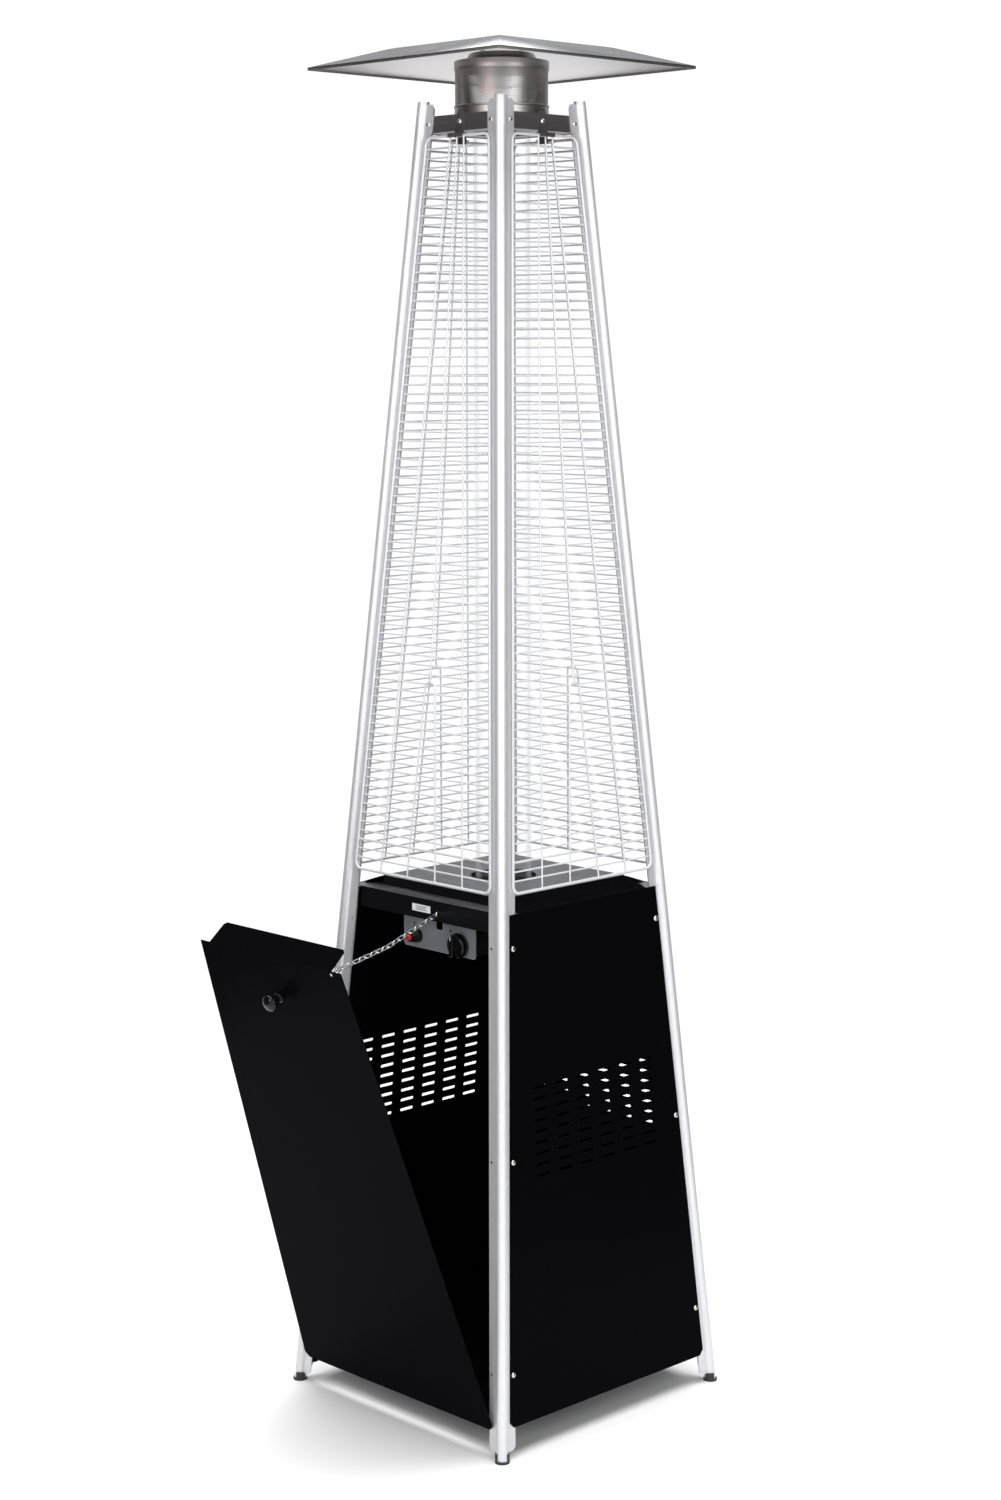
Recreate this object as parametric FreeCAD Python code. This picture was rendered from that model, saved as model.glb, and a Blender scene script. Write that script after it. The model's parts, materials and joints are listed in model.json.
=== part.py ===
import FreeCAD, Part
import math
import os
from FreeCAD import Vector

# A square, tapering outdoor gas heater. Four leaning legs carry a cabinet for the gas
# cylinder, a burner deck, a glass flame tube inside four wire guards, and a head with a
# square reflector. +Z is up and the origin is on the floor, in the middle of the legs.
# The door is on the -Y side and stands open, held by its chain. Sizes in millimetres.

# ---- stance of the four legs ----
floor_spread = 260.7      # middle to the line of the leg noses at the floor, along X and Y
top_spread = 96.9         # the same at the tops of the legs
leg_top = 2181.0
leg_joint = 881.5         # where the upper leg stands on the lower one
lean = (floor_spread - top_spread) / leg_top

# ---- leg section: a round nose with two flanges ----
nose_radius = 10.0
nose_wall = 1.6
flange_thick = 2.0
flange_inset = 4.5        # outer face of a flange, behind the line of the noses
flange_reach = 34.3       # free edge of a flange, in from the line of the noses
flange_chamfer = 5.0
flange_start = 14.0       # the flanges end above the foot
flange_end = 5.0          # and below the top of the nose
joiner_length = 80.0
seam_high = 0.9           # shallow groove round the leg where its two lengths meet
seam_deep = 0.5
slide_gap = 0.2

# ---- feet ----
sole_thick = 4.0
sole_radius = nose_radius + 2.0
foot_plug_height = 22.0
prong_height = 11.0

# ---- cabinet panels ----
sheet = 1.0
panel_bottom = 51.0
panel_fold = 881.0
panel_edge = 21.5         # edge of a panel, in from the line of the noses
panel_chamfer = 9.0
skirt_inset_low = 44.5    # ends of the skirt's two edges, in from the line of the noses
skirt_inset_high = 51.0
skirt_corner = 5.0
skirt_slope = 0.345
slot_columns = 6
slot_rows = 9
slot_pitch_across = 51.0
slot_pitch_down = 18.1
slot_top_row = 592.5
slot_length = 30.0
slot_width = 5.0
screw_heights = (137.0, 481.5, 826.0)
screw_inset = 29.0        # from the line of the noses
screw_radius = 2.0
screw_hole = screw_radius + 0.4
screw_socket = 1.3
head_radius = 4.7
head_height = 2.8
screw_length = 12.0

# ---- shelf for the gas cylinder ----
tray_floor = 59.0
tray_rim = 84.0
tray_sheet = 1.5
tray_corner = nose_radius * 2 - 2.0
tray_lip = 12.0
tray_tab = 26.0
seat_rise = 1.5           # the raised disc that the cylinder stands on
seat_radius = 155.0

# ---- door ----
door_gap = 0.6            # between the closed door and the flanges
door_open_angle = 22.6    # from closed to the end of the chain
door_pivot_z = 47.0
door_pivot_y = 10.67 - (floor_spread - lean * door_pivot_z)
door_ear_x = floor_spread - lean * door_pivot_z - 40.0    # inner face of each hinge ear
ear_thick = 1.5
ear_radius = 5.0
ear_top = 78.0
pin_radius = 2.0
pin_head = 3.2
pin_play = 0.15
latch_height = 809.0      # height of the latch spindle when closed
spindle_radius = 4.0
latch_depth = 16.5        # from the door's inner face to the cam
cam_length = 46.0
cam_width = 14.0
cam_thick = 2.0
knob_radius = 15.0
knob_reach = 31.0
bracket_width = 28.0 - nose_radius
bracket_sheet = 1.5

# ---- glass tube ----
tube_radius = 47.5
tube_wall = 3.0
tube_bottom = 892.0
tube_top = leg_top - 31.0
seat_thick = 2.0
gasket_thick = 2.0

# ---- burner deck and beam ----
deck_top = 898.0
deck_half = floor_spread - lean * deck_top - 48.6
deck_sheet = 1.2
deck_hole = tube_radius + 8.5
door_lip_end = -deck_half - 6.4     # inner edge of the door's lip when closed
beam_top = 881.5
beam_face = 16.0 - (floor_spread - lean * beam_top)
beam_back = 6.6 - deck_half
beam_bottom = 846.5
beam_half = deck_half + 20.4
beam_sheet = 1.2
label_left = -35.0
label_right = 9.0
label_low = 858.0
label_high = 870.0
label_thick = 0.4
bowl_depth = 60.0
bowl_flange = deck_hole + 12.0
bowl_wall = 1.2

# ---- controls ----
plate_face = beam_face + 28.5
plate_thick = 1.5
plate_half = 87.5
plate_low = 787.0
plate_high = 860.0
plate_corner = 6.0
knob_x = 53.0
control_z = 807.5
dial_radius = 21.0
dial_depth = 26.0
dial_gap = 5.0            # under the dial, so that it can be pushed in
push_travel = 4.0
stem_radius = 3.0
stem_play = 0.1
pipe_radius = 4.5
inlet_radius = 8.2        # the thread that a hose nut screws onto, pointing to the back
inlet_thread = 18.0
inlet_collar = 10.0
igniter_x = -52.0
igniter_travel = 5.0
igniter_bore = 6.2
button_radius = igniter_bore - 0.3

# ---- chain ----
link_wire = 2.2
link_width = 9.0
link_length = 24.4
chain_half_links = 9
staple_x = 28.5
staple_z = 859.0
staple_wire = 1.3
staple_reach = 4.0
hook_z = 876.0
hook_x = floor_spread - lean * hook_z - 44.91
hook_wire = 1.2
hook_reach = 4.3
hook_angle = 20.8         # where on the eye the chain pulls, from square to the door
chain_sag = 8.0

# ---- burner ----
burner_radius = 30.0
burner_low = 850.0
burner_high = 872.0
burner_stem = 9.0
port_count = 24
port_radius = 1.6
probe_x = 38.0            # the spark electrode and the thermocouple stand this far out

# ---- head: set out from the tops of the legs ----
strap_low = leg_top - 51.0
strap_high = strap_low + 27.0
strap_thick = 1.5
strap_screw_z = strap_low + 14.5
strap_screw_inset = 26.0
clip_half = 16.5
clip_sheet = 1.5
head_plate_z = strap_low + 1.0
head_plate_thick = 1.2
head_radius_outer = 77.0
head_wall = 0.8
bead_proud = 1.2
screen_low = leg_top - 7.0
screen_high = screen_low + 56.0
cap_rim = screen_high + 15.0
cap_top = cap_rim + 13.0
cap_wall = 1.2
cap_shoulder = 62.0       # the cap is flat from its rim in to here
cap_ring = 48.0           # outer and inner edge of the ring that carries the studs
cap_hole = 36.0
stud_circle = 45.0
stud_radius = 3.0

# ---- reflector ----
reflector_top = cap_top + 12.0
reflector_flat = 117.5    # half the side of the flat middle
reflector_rim = 223.8     # half the side at the rim
reflector_rim_z = reflector_top - 33.0
reflector_sheet = 0.8
reflector_hem = 5.0

# ---- wire guards ----
guard_low = 914.0
guard_high = leg_top - 59.0
guard_side = 28.0         # centre of the side wires, in from the line of the noses
guard_frame_wire = 5.0
guard_cross_wire = 3.0
guard_pitch = 15.2
guard_first_gap = 18.0
guard_corner = 14.0
inner_top = 15.5          # outer pair of the inner uprights, at the top
inner_low = 99.0          # and at the bottom
fork_low = 34.0           # legs of the fork at the bottom
fork_high = 8.0
fork_z = 1230.0


def spread(z):
    """Half the width between the lines of the leg noses at a height."""
    return floor_spread - lean * z


def on_right(inset, side, z):
    """A point parallel to the +X face, this far behind the line of the noses."""
    return Vector(spread(z) - inset, side, z)


def prism(points, sweep):
    """A closed solid from a flat outline swept along a vector."""
    return Part.Face(Part.makePolygon(points + points[:1])).extrude(sweep)


def block(x0, x1, y0, y1, z0, z1):
    return Part.makeBox(x1 - x0, y1 - y0, z1 - z0, Vector(x0, y0, z0))


def rod(radius, start, end):
    """A round bar between two points."""
    run = end.sub(start)
    return Part.makeCylinder(radius, run.Length, start, run)


def quarter(shape, turns):
    """A copy turned about the heater's axis by quarter turns."""
    turned = shape.copy()
    turned.rotate(Vector(0, 0, 0), Vector(0, 0, 1), 90.0 * turns)
    return turned


def mirrored(shape, normal):
    return shape.mirror(Vector(0, 0, 0), normal)


def fuse(shapes):
    joined = shapes[0].multiFuse(shapes[1:])
    return joined.removeSplitter()


def save(name, shape):
    shape.exportStep("parts/" + name + ".step")


right_normal = Vector(1, 0, lean).normalize()
corners = (("back_right", 0), ("back_left", 1), ("front_left", 2), ("front_right", 3))
fixed_sides = (("side_panel_right", 0), ("back_panel", 1), ("side_panel_left", 2))


# ---------------------------------------------------------------- legs
def leaning_round(radius, z0, z1):
    """A round bar that follows the nose of the +X +Y leg."""
    centre = spread(z0) - nose_radius / math.sqrt(2)
    ring = Part.Wire(Part.makeCircle(radius, Vector(centre, centre, z0)))
    drop = lean * (z1 - z0)
    return Part.Face(ring).extrude(Vector(-drop, -drop, z1 - z0))


def flange(z0, z1, low_chamfer, high_chamfer):
    """The flange of the +X +Y leg that lies in the +X face."""
    root0 = spread(z0) - nose_radius / math.sqrt(2)
    root1 = spread(z1) - nose_radius / math.sqrt(2)
    edge = flange_reach
    outline = [on_right(flange_inset, root0, z0), on_right(flange_inset, root1, z1)]
    outline.append(on_right(flange_inset, spread(z1) - edge + high_chamfer, z1))
    if high_chamfer:
        high = z1 - high_chamfer
        outline.append(on_right(flange_inset, spread(high) - edge, high))
    if low_chamfer:
        low = z0 + low_chamfer
        outline.append(on_right(flange_inset, spread(low) - edge, low))
    outline.append(on_right(flange_inset, spread(z0) - edge + low_chamfer, z0))
    return prism(outline, Vector(-flange_thick, 0, 0))


def right_drill(inset, z, radius):
    """A drill through the +X face, near the +Y edge."""
    centre = on_right(flange_inset, spread(z) - inset, z)
    reach = right_normal * 15
    return rod(radius, centre.sub(reach), centre.add(reach))


def leg_piece(z0, z1, flange0, flange1, low_chamfer, high_chamfer, drills):
    across = Vector(1, -1, 0)
    wing = flange(flange0, flange1, low_chamfer, high_chamfer)
    for drill in drills:
        wing = wing.cut(drill)
    body = fuse([leaning_round(nose_radius, z0, z1), wing, mirrored(wing, across)])
    return body.cut(leaning_round(nose_radius - nose_wall, z0 - 1, z1 + 1))


def foot():
    """Plastic foot: a sole under the nose, a plug inside it and a prong on each side."""
    centre = spread(0) - nose_radius / math.sqrt(2)
    sole = Part.makeCylinder(sole_radius, sole_thick, Vector(centre, centre, 0))
    plug = leaning_round(nose_radius - nose_wall - slide_gap, sole_thick, foot_plug_height)
    ring = leaning_round(sole_radius, sole_thick, sole_thick + prong_height)
    ring = ring.cut(leaning_round(nose_radius + slide_gap, 0, sole_thick + 20))
    away = 40.0
    wedge = [Vector(centre, centre, 0), Vector(centre + away, centre - 8, 0)]
    wedge.append(Vector(centre + away, centre - away, 0))
    wedge.append(Vector(centre - 2, centre - away, 0))
    keep = prism(wedge, Vector(0, 0, sole_thick + 20))
    clear_flange = right_flange_zone()
    prong = ring.common(keep).cut(clear_flange)
    other = mirrored(prong, Vector(1, -1, 0))
    return fuse([sole, plug, prong, other])


def right_flange_zone():
    """Room kept clear around both flanges of the +X +Y leg."""
    z0 = flange_start - 1
    z1 = flange_start + 30
    side = [on_right(flange_inset - 0.3, spread(z0) - 60, z0)]
    side.append(on_right(flange_inset - 0.3, spread(z0) - 6, z0))
    side.append(on_right(flange_inset - 0.3, spread(z0) - 6, z1))
    side.append(on_right(flange_inset - 0.3, spread(z0) - 60, z1))
    wing = prism(side, Vector(-flange_thick - 0.6, 0, 0))
    return wing.fuse(mirrored(wing, Vector(1, -1, 0)))


def seam():
    """The groove in the foot of the +X +Y upper leg, outside its tube and flanges."""
    low = leg_joint
    high = leg_joint + seam_high
    ring = leaning_round(nose_radius * 2, low, high)
    ring = ring.cut(leaning_round(nose_radius - seam_deep, low - 1, high + 1))
    behind = flange_inset + seam_deep
    side = ((spread(low) - nose_radius, low), (spread(low) - nose_radius, high))
    side += ((spread(low) - flange_reach - 1, high), (spread(low) - flange_reach - 1, low))
    wing = prism([on_right(behind, y, z) for y, z in side], Vector(behind, 0, 0))
    across = Vector(1, -1, 0)
    near = prism(
        [Vector(x, y, low) for x, y in square(nose_corner(low))], Vector(0, 0, seam_high)
    )
    return ring.cut(near).fuse([wing, mirrored(wing, across)])


def nose_corner(z):
    """Half the side of a square whose edges run along the outer faces of the flanges."""
    return spread(z) - flange_inset - seam_deep


def make_legs():
    lower_drills = [right_drill(screw_inset, z, screw_hole) for z in screw_heights]
    upper_drills = [right_drill(strap_screw_inset, strap_screw_z, screw_hole)]
    low_end = leg_joint
    lower = leg_piece(
        sole_thick, low_end, flange_start, low_end, flange_chamfer, 0, lower_drills
    )
    high_flange = leg_top - flange_end
    upper = leg_piece(
        low_end, leg_top, low_end, high_flange, 0, flange_chamfer, upper_drills
    )
    upper = upper.cut(seam())
    half = joiner_length / 2
    inner = nose_radius - nose_wall - slide_gap
    joiner = leaning_round(inner, leg_joint - half, leg_joint + half)
    for name, turns in corners:
        save("leg_lower_" + name, quarter(lower, turns))
        save("leg_upper_" + name, quarter(upper, turns))
    save("leg_joiners", Part.makeCompound([quarter(joiner, n) for n in range(4)]))
    save("leg_feet", Part.makeCompound([quarter(foot(), n) for n in range(4)]))


# ---------------------------------------------------------------- panels
def panel_outline(inset):
    def edge(z):
        return spread(z) - panel_edge

    low = panel_bottom
    step = panel_bottom + panel_chamfer
    right = [(edge(low) - panel_chamfer, low), (edge(step), step)]
    right.append((edge(panel_fold), panel_fold))
    left = [(-side, z) for side, z in reversed(right)]
    return [on_right(inset, side, z) for side, z in right + left]


def skirt(inset, end_x):
    """The sloping strip along the top of a panel, folded in towards the deck."""
    fold_x = spread(panel_fold) - inset
    rise = skirt_slope

    def at(x, half):
        return Vector(x, half, panel_fold + rise * (fold_x - x))

    half_high = spread(panel_fold) - skirt_inset_high
    right = [at(fold_x, spread(panel_fold) - skirt_inset_low)]
    right.append(at(end_x + skirt_corner, half_high + skirt_corner))
    right.append(at(end_x, half_high))
    left = [Vector(p.x, -p.y, p.z) for p in reversed(right)]
    return prism(right + left, Vector(0, 0, -sheet))


def slot_cutter(side, z):
    """A rounded slot through the +X panel."""
    half = (slot_length - slot_width) / 2
    depth = right_normal * 8
    pieces = []
    for end in (side - half, side + half):
        centre = on_right(flange_inset, end, z)
        pieces.append(rod(slot_width / 2, centre.sub(depth), centre.add(depth)))
    up = Vector(-lean, 0, 1).normalize() * (slot_width / 2)
    middle = [on_right(flange_inset, side - half, z), on_right(flange_inset, side + half, z)]
    outline = [middle[0].sub(up), middle[1].sub(up), middle[1].add(up), middle[0].add(up)]
    outline = [p.sub(depth) for p in outline]
    pieces.append(prism(outline, depth * 2))
    return pieces[0].multiFuse(pieces[1:])


def make_panels():
    inset = flange_inset - sheet
    flat = prism(panel_outline(inset), Vector(-sheet, 0, 0))
    panel = fuse([flat, skirt(inset, deck_half + 1.4)])
    holes = []
    for z in screw_heights:
        drill = right_drill(screw_inset, z, screw_hole)
        holes += [drill, mirrored(drill, Vector(0, 1, 0))]
    first = -(slot_columns - 1) / 2 * slot_pitch_across
    for column in range(slot_columns):
        for row in range(slot_rows):
            side = first + column * slot_pitch_across
            holes.append(slot_cutter(side, slot_top_row - row * slot_pitch_down))
    panel = panel.cut(Part.makeCompound(holes))
    for name, turns in fixed_sides:
        save(name, quarter(panel, turns))


def pan_screw(seat, outward, shank):
    """A pan-head screw whose head sits on seat and points outward."""
    into = rod(screw_radius, seat.sub(outward * shank), seat)
    disc = rod(head_radius, seat, seat.add(outward * (head_height * 0.45)))
    dome_base = seat.add(outward * (head_height * 0.45))
    dome = Part.makeCone(head_radius, head_radius * 0.55, head_height * 0.55, dome_base, outward)
    socket = rod(screw_socket, dome_base, seat.add(outward * (head_height + 1)))
    return fuse([into, disc, dome]).cut(socket)


def make_panel_screws():
    screws = []
    for z in screw_heights:
        side = spread(z) - screw_inset
        for sign in (1, -1):
            seat = on_right(flange_inset - sheet, sign * side, z)
            screw = pan_screw(seat, right_normal, screw_length)
            screws += [quarter(screw, turns) for _, turns in fixed_sides]
    save("panel_screws", Part.makeCompound(screws))


# ---------------------------------------------------------------- base tray
def make_tray():
    """Shelf for the gas cylinder, with rims that screw to three faces of the cabinet."""
    floor_z = tray_floor
    rim_z = tray_rim
    tab_z = screw_heights[0] + 12
    back = flange_inset + flange_thick + slide_gap
    half = spread(floor_z) - back - sheet
    front = half - nose_radius * 1.35
    outline = [(half, -front), (half, half - tray_corner), (half - tray_corner, half)]
    outline += [(-x, y) for x, y in reversed(outline)]
    floor = prism([Vector(x, y, floor_z) for x, y in outline], Vector(0, 0, tray_sheet))
    seat = Part.makeCylinder(seat_radius, tray_sheet + seat_rise, Vector(0, 0, floor_z))
    tab_out = spread(rim_z) - flange_reach + 14
    tab_in = tab_out - tray_tab
    side = [(half - tray_corner, floor_z), (half - tray_corner, rim_z), (tab_out, rim_z)]
    side += [(tab_out - 4, tab_z), (tab_in, tab_z), (tab_in, rim_z)]
    side += [(-x, z) for x, z in reversed(side)]
    rim = prism([on_right(back, x, z) for x, z in side], Vector(-tray_sheet, 0, 0))
    drill = right_drill(screw_inset, screw_heights[0], screw_hole)
    rim = rim.cut(Part.makeCompound([drill, mirrored(drill, Vector(0, 1, 0))]))
    rims = [quarter(rim, turns) for _, turns in fixed_sides]
    lip = block(
        tray_corner - front, front - tray_corner, -front, tray_sheet - front,
        floor_z, floor_z + tray_lip,
    )
    tray = fuse([floor, seat, lip] + rims)
    outer = prism([Vector(x, y, floor_z) for x, y in square(half + 3)], Vector(0, 0, 200))
    save("base_tray", tray.common(outer))


def square(half):
    return [(half, -half), (half, half), (-half, half), (-half, -half)]


# ---------------------------------------------------------------- door
def front(shape):
    """Takes a shape drawn on the +X face to the -Y face."""
    return quarter(shape, 3)


def opened(shape):
    """A copy swung out to the end of the door's chain."""
    swung = shape.copy()
    pivot = Vector(0, door_pivot_y, door_pivot_z)
    swung.rotate(pivot, Vector(1, 0, 0), door_open_angle)
    return swung


door_inset = flange_inset - sheet - door_gap
door_normal = Vector(0, -1, lean).normalize()


def door_inner(z, depth=0.0):
    """Y of the closed door's inner face at a height, and this far behind it."""
    return -(spread(z) - door_inset - sheet) + depth


def door_ear(sign):
    y1 = door_inner(ear_top) - 0.3
    low = panel_bottom + 1
    outline = [(door_inner(ear_top) - 0.3, ear_top), (door_inner(low) - 0.3, low)]
    outline += [(door_pivot_y - ear_radius, door_pivot_z)]
    outline += [(door_pivot_y, door_pivot_z - ear_radius)]
    outline += [(door_pivot_y + ear_radius, door_pivot_z)]
    outline += [(door_pivot_y + ear_radius, door_pivot_z + 12), (y1 + 4, ear_top)]
    x = door_ear_x if sign > 0 else -door_ear_x - ear_thick
    plate = prism([Vector(x, y, z) for y, z in outline], Vector(ear_thick, 0, 0))
    hole = rod(pin_radius + pin_play, door_pin_point(-400), door_pin_point(400))
    return plate.cut(hole)


def door_pin_point(x):
    return Vector(x, door_pivot_y, door_pivot_z)


def make_door():
    flat = prism(panel_outline(door_inset), Vector(-sheet, 0, 0))
    leaf = front(fuse([flat, skirt(door_inset, -door_lip_end)]))
    leaf = fuse([leaf, door_ear(1), door_ear(-1)])
    spindle = latch_point(0)
    reach = door_normal * 30
    leaf = leaf.cut(rod(spindle_radius + 0.3, spindle.sub(reach), spindle.add(reach)))
    hook_hole = hook_centre().add(Vector(0, -12, 0))
    leaf = leaf.cut(rod(hook_wire + 0.1, hook_hole, hook_centre()))
    save("door_panel", opened(leaf))


def latch_point(depth):
    """A point on the latch spindle's axis, this far behind the door's inner face."""
    base = Vector(0, door_inner(latch_height), latch_height)
    return base.sub(door_normal * depth)


def make_latch():
    """Knob with its spindle outside the door, and the cam behind it, lying flat."""
    axis = door_normal
    seat = latch_point(-sheet - 0.4)
    collar = rod(9.0, seat, seat.add(axis * 3))
    neck = rod(6.5, seat.add(axis * 3), seat.add(axis * 12))
    grip_start = seat.add(axis * 12)
    grip = Part.makeCone(9.5, knob_radius, 9, grip_start, axis)
    rim_start = grip_start.add(axis * 9)
    rim = rod(knob_radius, rim_start, rim_start.add(axis * 5))
    crown_start = rim_start.add(axis * 5)
    crown_height = knob_reach - 26
    crown = Part.makeCone(knob_radius, knob_radius * 0.7, crown_height, crown_start, axis)
    spindle = rod(spindle_radius, latch_point(latch_depth - 0.1), seat.add(axis * 1))
    save("door_knob", opened(fuse([collar, neck, grip, rim, crown, spindle])))
    cam_start = latch_point(latch_depth)
    across = Vector(-1, 0, 0)
    up = across.cross(axis).normalize()
    half = up * (cam_width / 2)
    tip = across * (cam_length - cam_width / 2)
    outline = [cam_start.sub(half), cam_start.sub(half).add(tip)]
    outline += [cam_start.add(half).add(tip), cam_start.add(half)]
    bar = prism(outline, axis * -cam_thick)
    rounds = []
    for centre in (cam_start, cam_start.add(tip)):
        rounds.append(rod(cam_width / 2, centre, centre.sub(axis * cam_thick)))
    nut_start = cam_start.sub(axis * cam_thick)
    nut = rod(5.5, nut_start, nut_start.sub(axis * 3.5))
    save("latch_cam", opened(fuse([bar, nut] + rounds)))


def make_door_hinge():
    pins = []
    brackets = []
    outer = door_ear_x + ear_thick + 0.8
    plate_back = flange_inset + flange_thick
    for sign in (1, -1):
        head_end = sign * (door_ear_x - 0.8)
        tip = door_pin_point(sign * (outer + 3.5))
        shank = rod(pin_radius, door_pin_point(head_end), tip)
        head = rod(pin_head, door_pin_point(head_end - sign * 1.6), door_pin_point(head_end))
        pins.append(fuse([shank, head]))
        low = door_pivot_z - 9
        high = door_pivot_z + 20
        wide = outer + bracket_width
        side = [(sign * outer, low), (sign * wide, low), (sign * wide, high), (sign * outer, high)]
        sweep = Vector(-bracket_sheet, 0, 0)
        plate = front(prism([on_right(plate_back, x, z) for x, z in side], sweep))
        wall = -(spread(door_pivot_z) - plate_back)
        x0, x1 = sorted((sign * outer, sign * (outer + bracket_sheet)))
        ear = block(x0, x1, wall - 2, door_pivot_y + 6, low, high)
        room = ((-wide, 0), (wide, 0), (wide, 200), (-wide, 200))
        behind = prism([on_right(plate_back, x, z) for x, z in room], Vector(-60, 0, 0))
        ear = ear.common(front(behind))
        bracket = fuse([plate, ear])
        bracket = bracket.cut(rod(pin_radius, door_pin_point(-400), door_pin_point(400)))
        brackets.append(bracket)
    save("door_hinge_pins", Part.makeCompound(pins))
    save("door_hinge_brackets", Part.makeCompound(brackets))


# ---------------------------------------------------------------- deck and beam
def make_deck():
    half = deck_half
    plate = block(-half, half, -half, half, deck_top - deck_sheet, deck_top)
    low = beam_top - beam_sheet
    walls = [block(half - deck_sheet, half, -half, half, low, deck_top)]
    walls.append(block(-half, -half + deck_sheet, -half, half, low, deck_top))
    walls.append(block(-half, half, half - deck_sheet, half, low, deck_top))
    walls.append(block(-half, half, -half, -half + deck_sheet, beam_top, deck_top))
    deck = fuse([plate] + walls)
    beam_room = block(-beam_half, beam_half, -half - 1, beam_back + 1, low - 1, beam_top)
    deck = deck.cut(beam_room)
    hole = Part.makeCylinder(deck_hole, 10, Vector(0, 0, deck_top - 5))
    save("burner_deck", deck.cut(hole))


def make_deck_brackets():
    """Corner plates that carry the deck on the legs."""
    top = beam_top - beam_sheet
    reach = spread(top) - flange_inset - flange_thick - slide_gap
    near = deck_half - 22
    cut = reach - nose_radius * 1.42 + 2.2
    outline = [(near, near), (reach, near), (reach, cut), (cut + 4, cut + 4)]
    outline += [(cut, reach), (near, reach)]
    plate = prism([Vector(x, y, top - 2) for x, y in outline], Vector(0, 0, 2))
    clear = beam_half + 0.5
    inner_face = beam_face + beam_sheet + slide_gap
    beam_room = block(-clear, clear, beam_face - 20, inner_face, top - 3, top + 1)
    plates = [quarter(plate, n).cut(beam_room) for n in range(4)]
    save("deck_brackets", Part.makeCompound(plates))


def make_beam():
    """Front channel under the deck: a flat ledge, a front face and a short return."""
    t = beam_sheet
    ledge = block(-beam_half, beam_half, beam_face, beam_back, beam_top - t, beam_top)
    face = block(-beam_half, beam_half, beam_face, beam_face + t, beam_bottom, beam_top)
    back = plate_face
    bottom = block(-beam_half, beam_half, beam_face, back, beam_bottom, beam_bottom + t)
    beam = fuse([ledge, face, bottom])
    notch = block(-30, 16, beam_face + 0.5, back + 1, beam_bottom - 1, beam_bottom + t + 1)
    keep = block(-30, 16, beam_face, beam_face + t, beam_bottom, beam_bottom + t)
    beam = beam.cut(notch.cut(keep))
    save("front_beam", beam)
    label = block(
        label_left, label_right, beam_face - label_thick, beam_face, label_low, label_high
    )
    save("label_plate", label)


def make_staple():
    """Wire eye on the beam that holds the top of the chain."""
    centre = Vector(staple_x, beam_face - 1.5, staple_z)
    eye = Part.makeTorus(staple_reach, staple_wire, centre, Vector(1, 0, 0))
    wide = 9.0
    outside = block(
        staple_x - wide, staple_x + wide, beam_face - 20, centre.y, staple_z - wide, staple_z + wide
    )
    eye = eye.common(outside)
    legs = []
    for dz in (-staple_reach, staple_reach):
        start = Vector(staple_x, beam_face, staple_z + dz)
        legs.append(rod(staple_wire, start, Vector(staple_x, centre.y, staple_z + dz)))
    save("chain_staple", fuse([eye] + legs))


# ---------------------------------------------------------------- chain
def staple_point():
    return Vector(staple_x, beam_face - 1.5 - staple_reach, staple_z)


def hook_centre():
    return Vector(hook_x, door_inner(hook_z, hook_wire + hook_reach + 0.3), hook_z)


def hook_point_closed():
    turn = math.radians(hook_angle)
    return hook_centre().add(Vector(-math.sin(turn), math.cos(turn), 0) * hook_reach)


def hook_point():
    """Where the last link pulls on the door's hook, with the door open."""
    return opened(Part.Vertex(hook_point_closed())).Point


def make_hook():
    """Wire eye behind the door, with a stem through the door and a riveted end."""
    centre = hook_centre()
    eye = Part.makeTorus(hook_reach, hook_wire, centre, Vector(0, 0, 1))
    outer_face = Vector(hook_x, door_inner(hook_z) - sheet, hook_z)
    head_at = outer_face.add(door_normal * 0.05)
    head = rod(hook_wire * 1.9, head_at, head_at.add(door_normal * 1.2))
    stem = rod(hook_wire, centre.add(Vector(0, -hook_reach, 0)), head_at.add(door_normal * 0.5))
    save("door_chain_hook", opened(fuse([eye, stem, head])))


def link(centre, along, flat):
    """One stretched ring, lying along a direction, in the plane of along and flat."""
    bend = (link_width - link_wire) / 2
    straight = link_length / 2 - link_width / 2
    normal = along.cross(flat).normalize()
    pieces = []
    for end in (1, -1):
        middle = centre.add(along * (end * straight))
        ring = Part.makeTorus(bend, link_wire / 2, middle, normal)
        beyond = middle.add(along * (end * 20))
        keep = half_space(middle, beyond, flat, normal)
        pieces.append(ring.common(keep))
    for side in (1, -1):
        offset = flat * (side * bend)
        start = centre.sub(along * straight).add(offset)
        pieces.append(rod(link_wire / 2, start, centre.add(along * straight).add(offset)))
    return fuse(pieces)


def half_space(near, far, flat, normal):
    """A square bar from near to far, wide enough to hold half a ring."""
    wide = 12.0
    a = near.add(flat * wide).add(normal * wide)
    b = near.sub(flat * wide).add(normal * wide)
    c = near.sub(flat * wide).sub(normal * wide)
    d = near.add(flat * wide).sub(normal * wide)
    return prism([a, b, c, d], far.sub(near))


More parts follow.
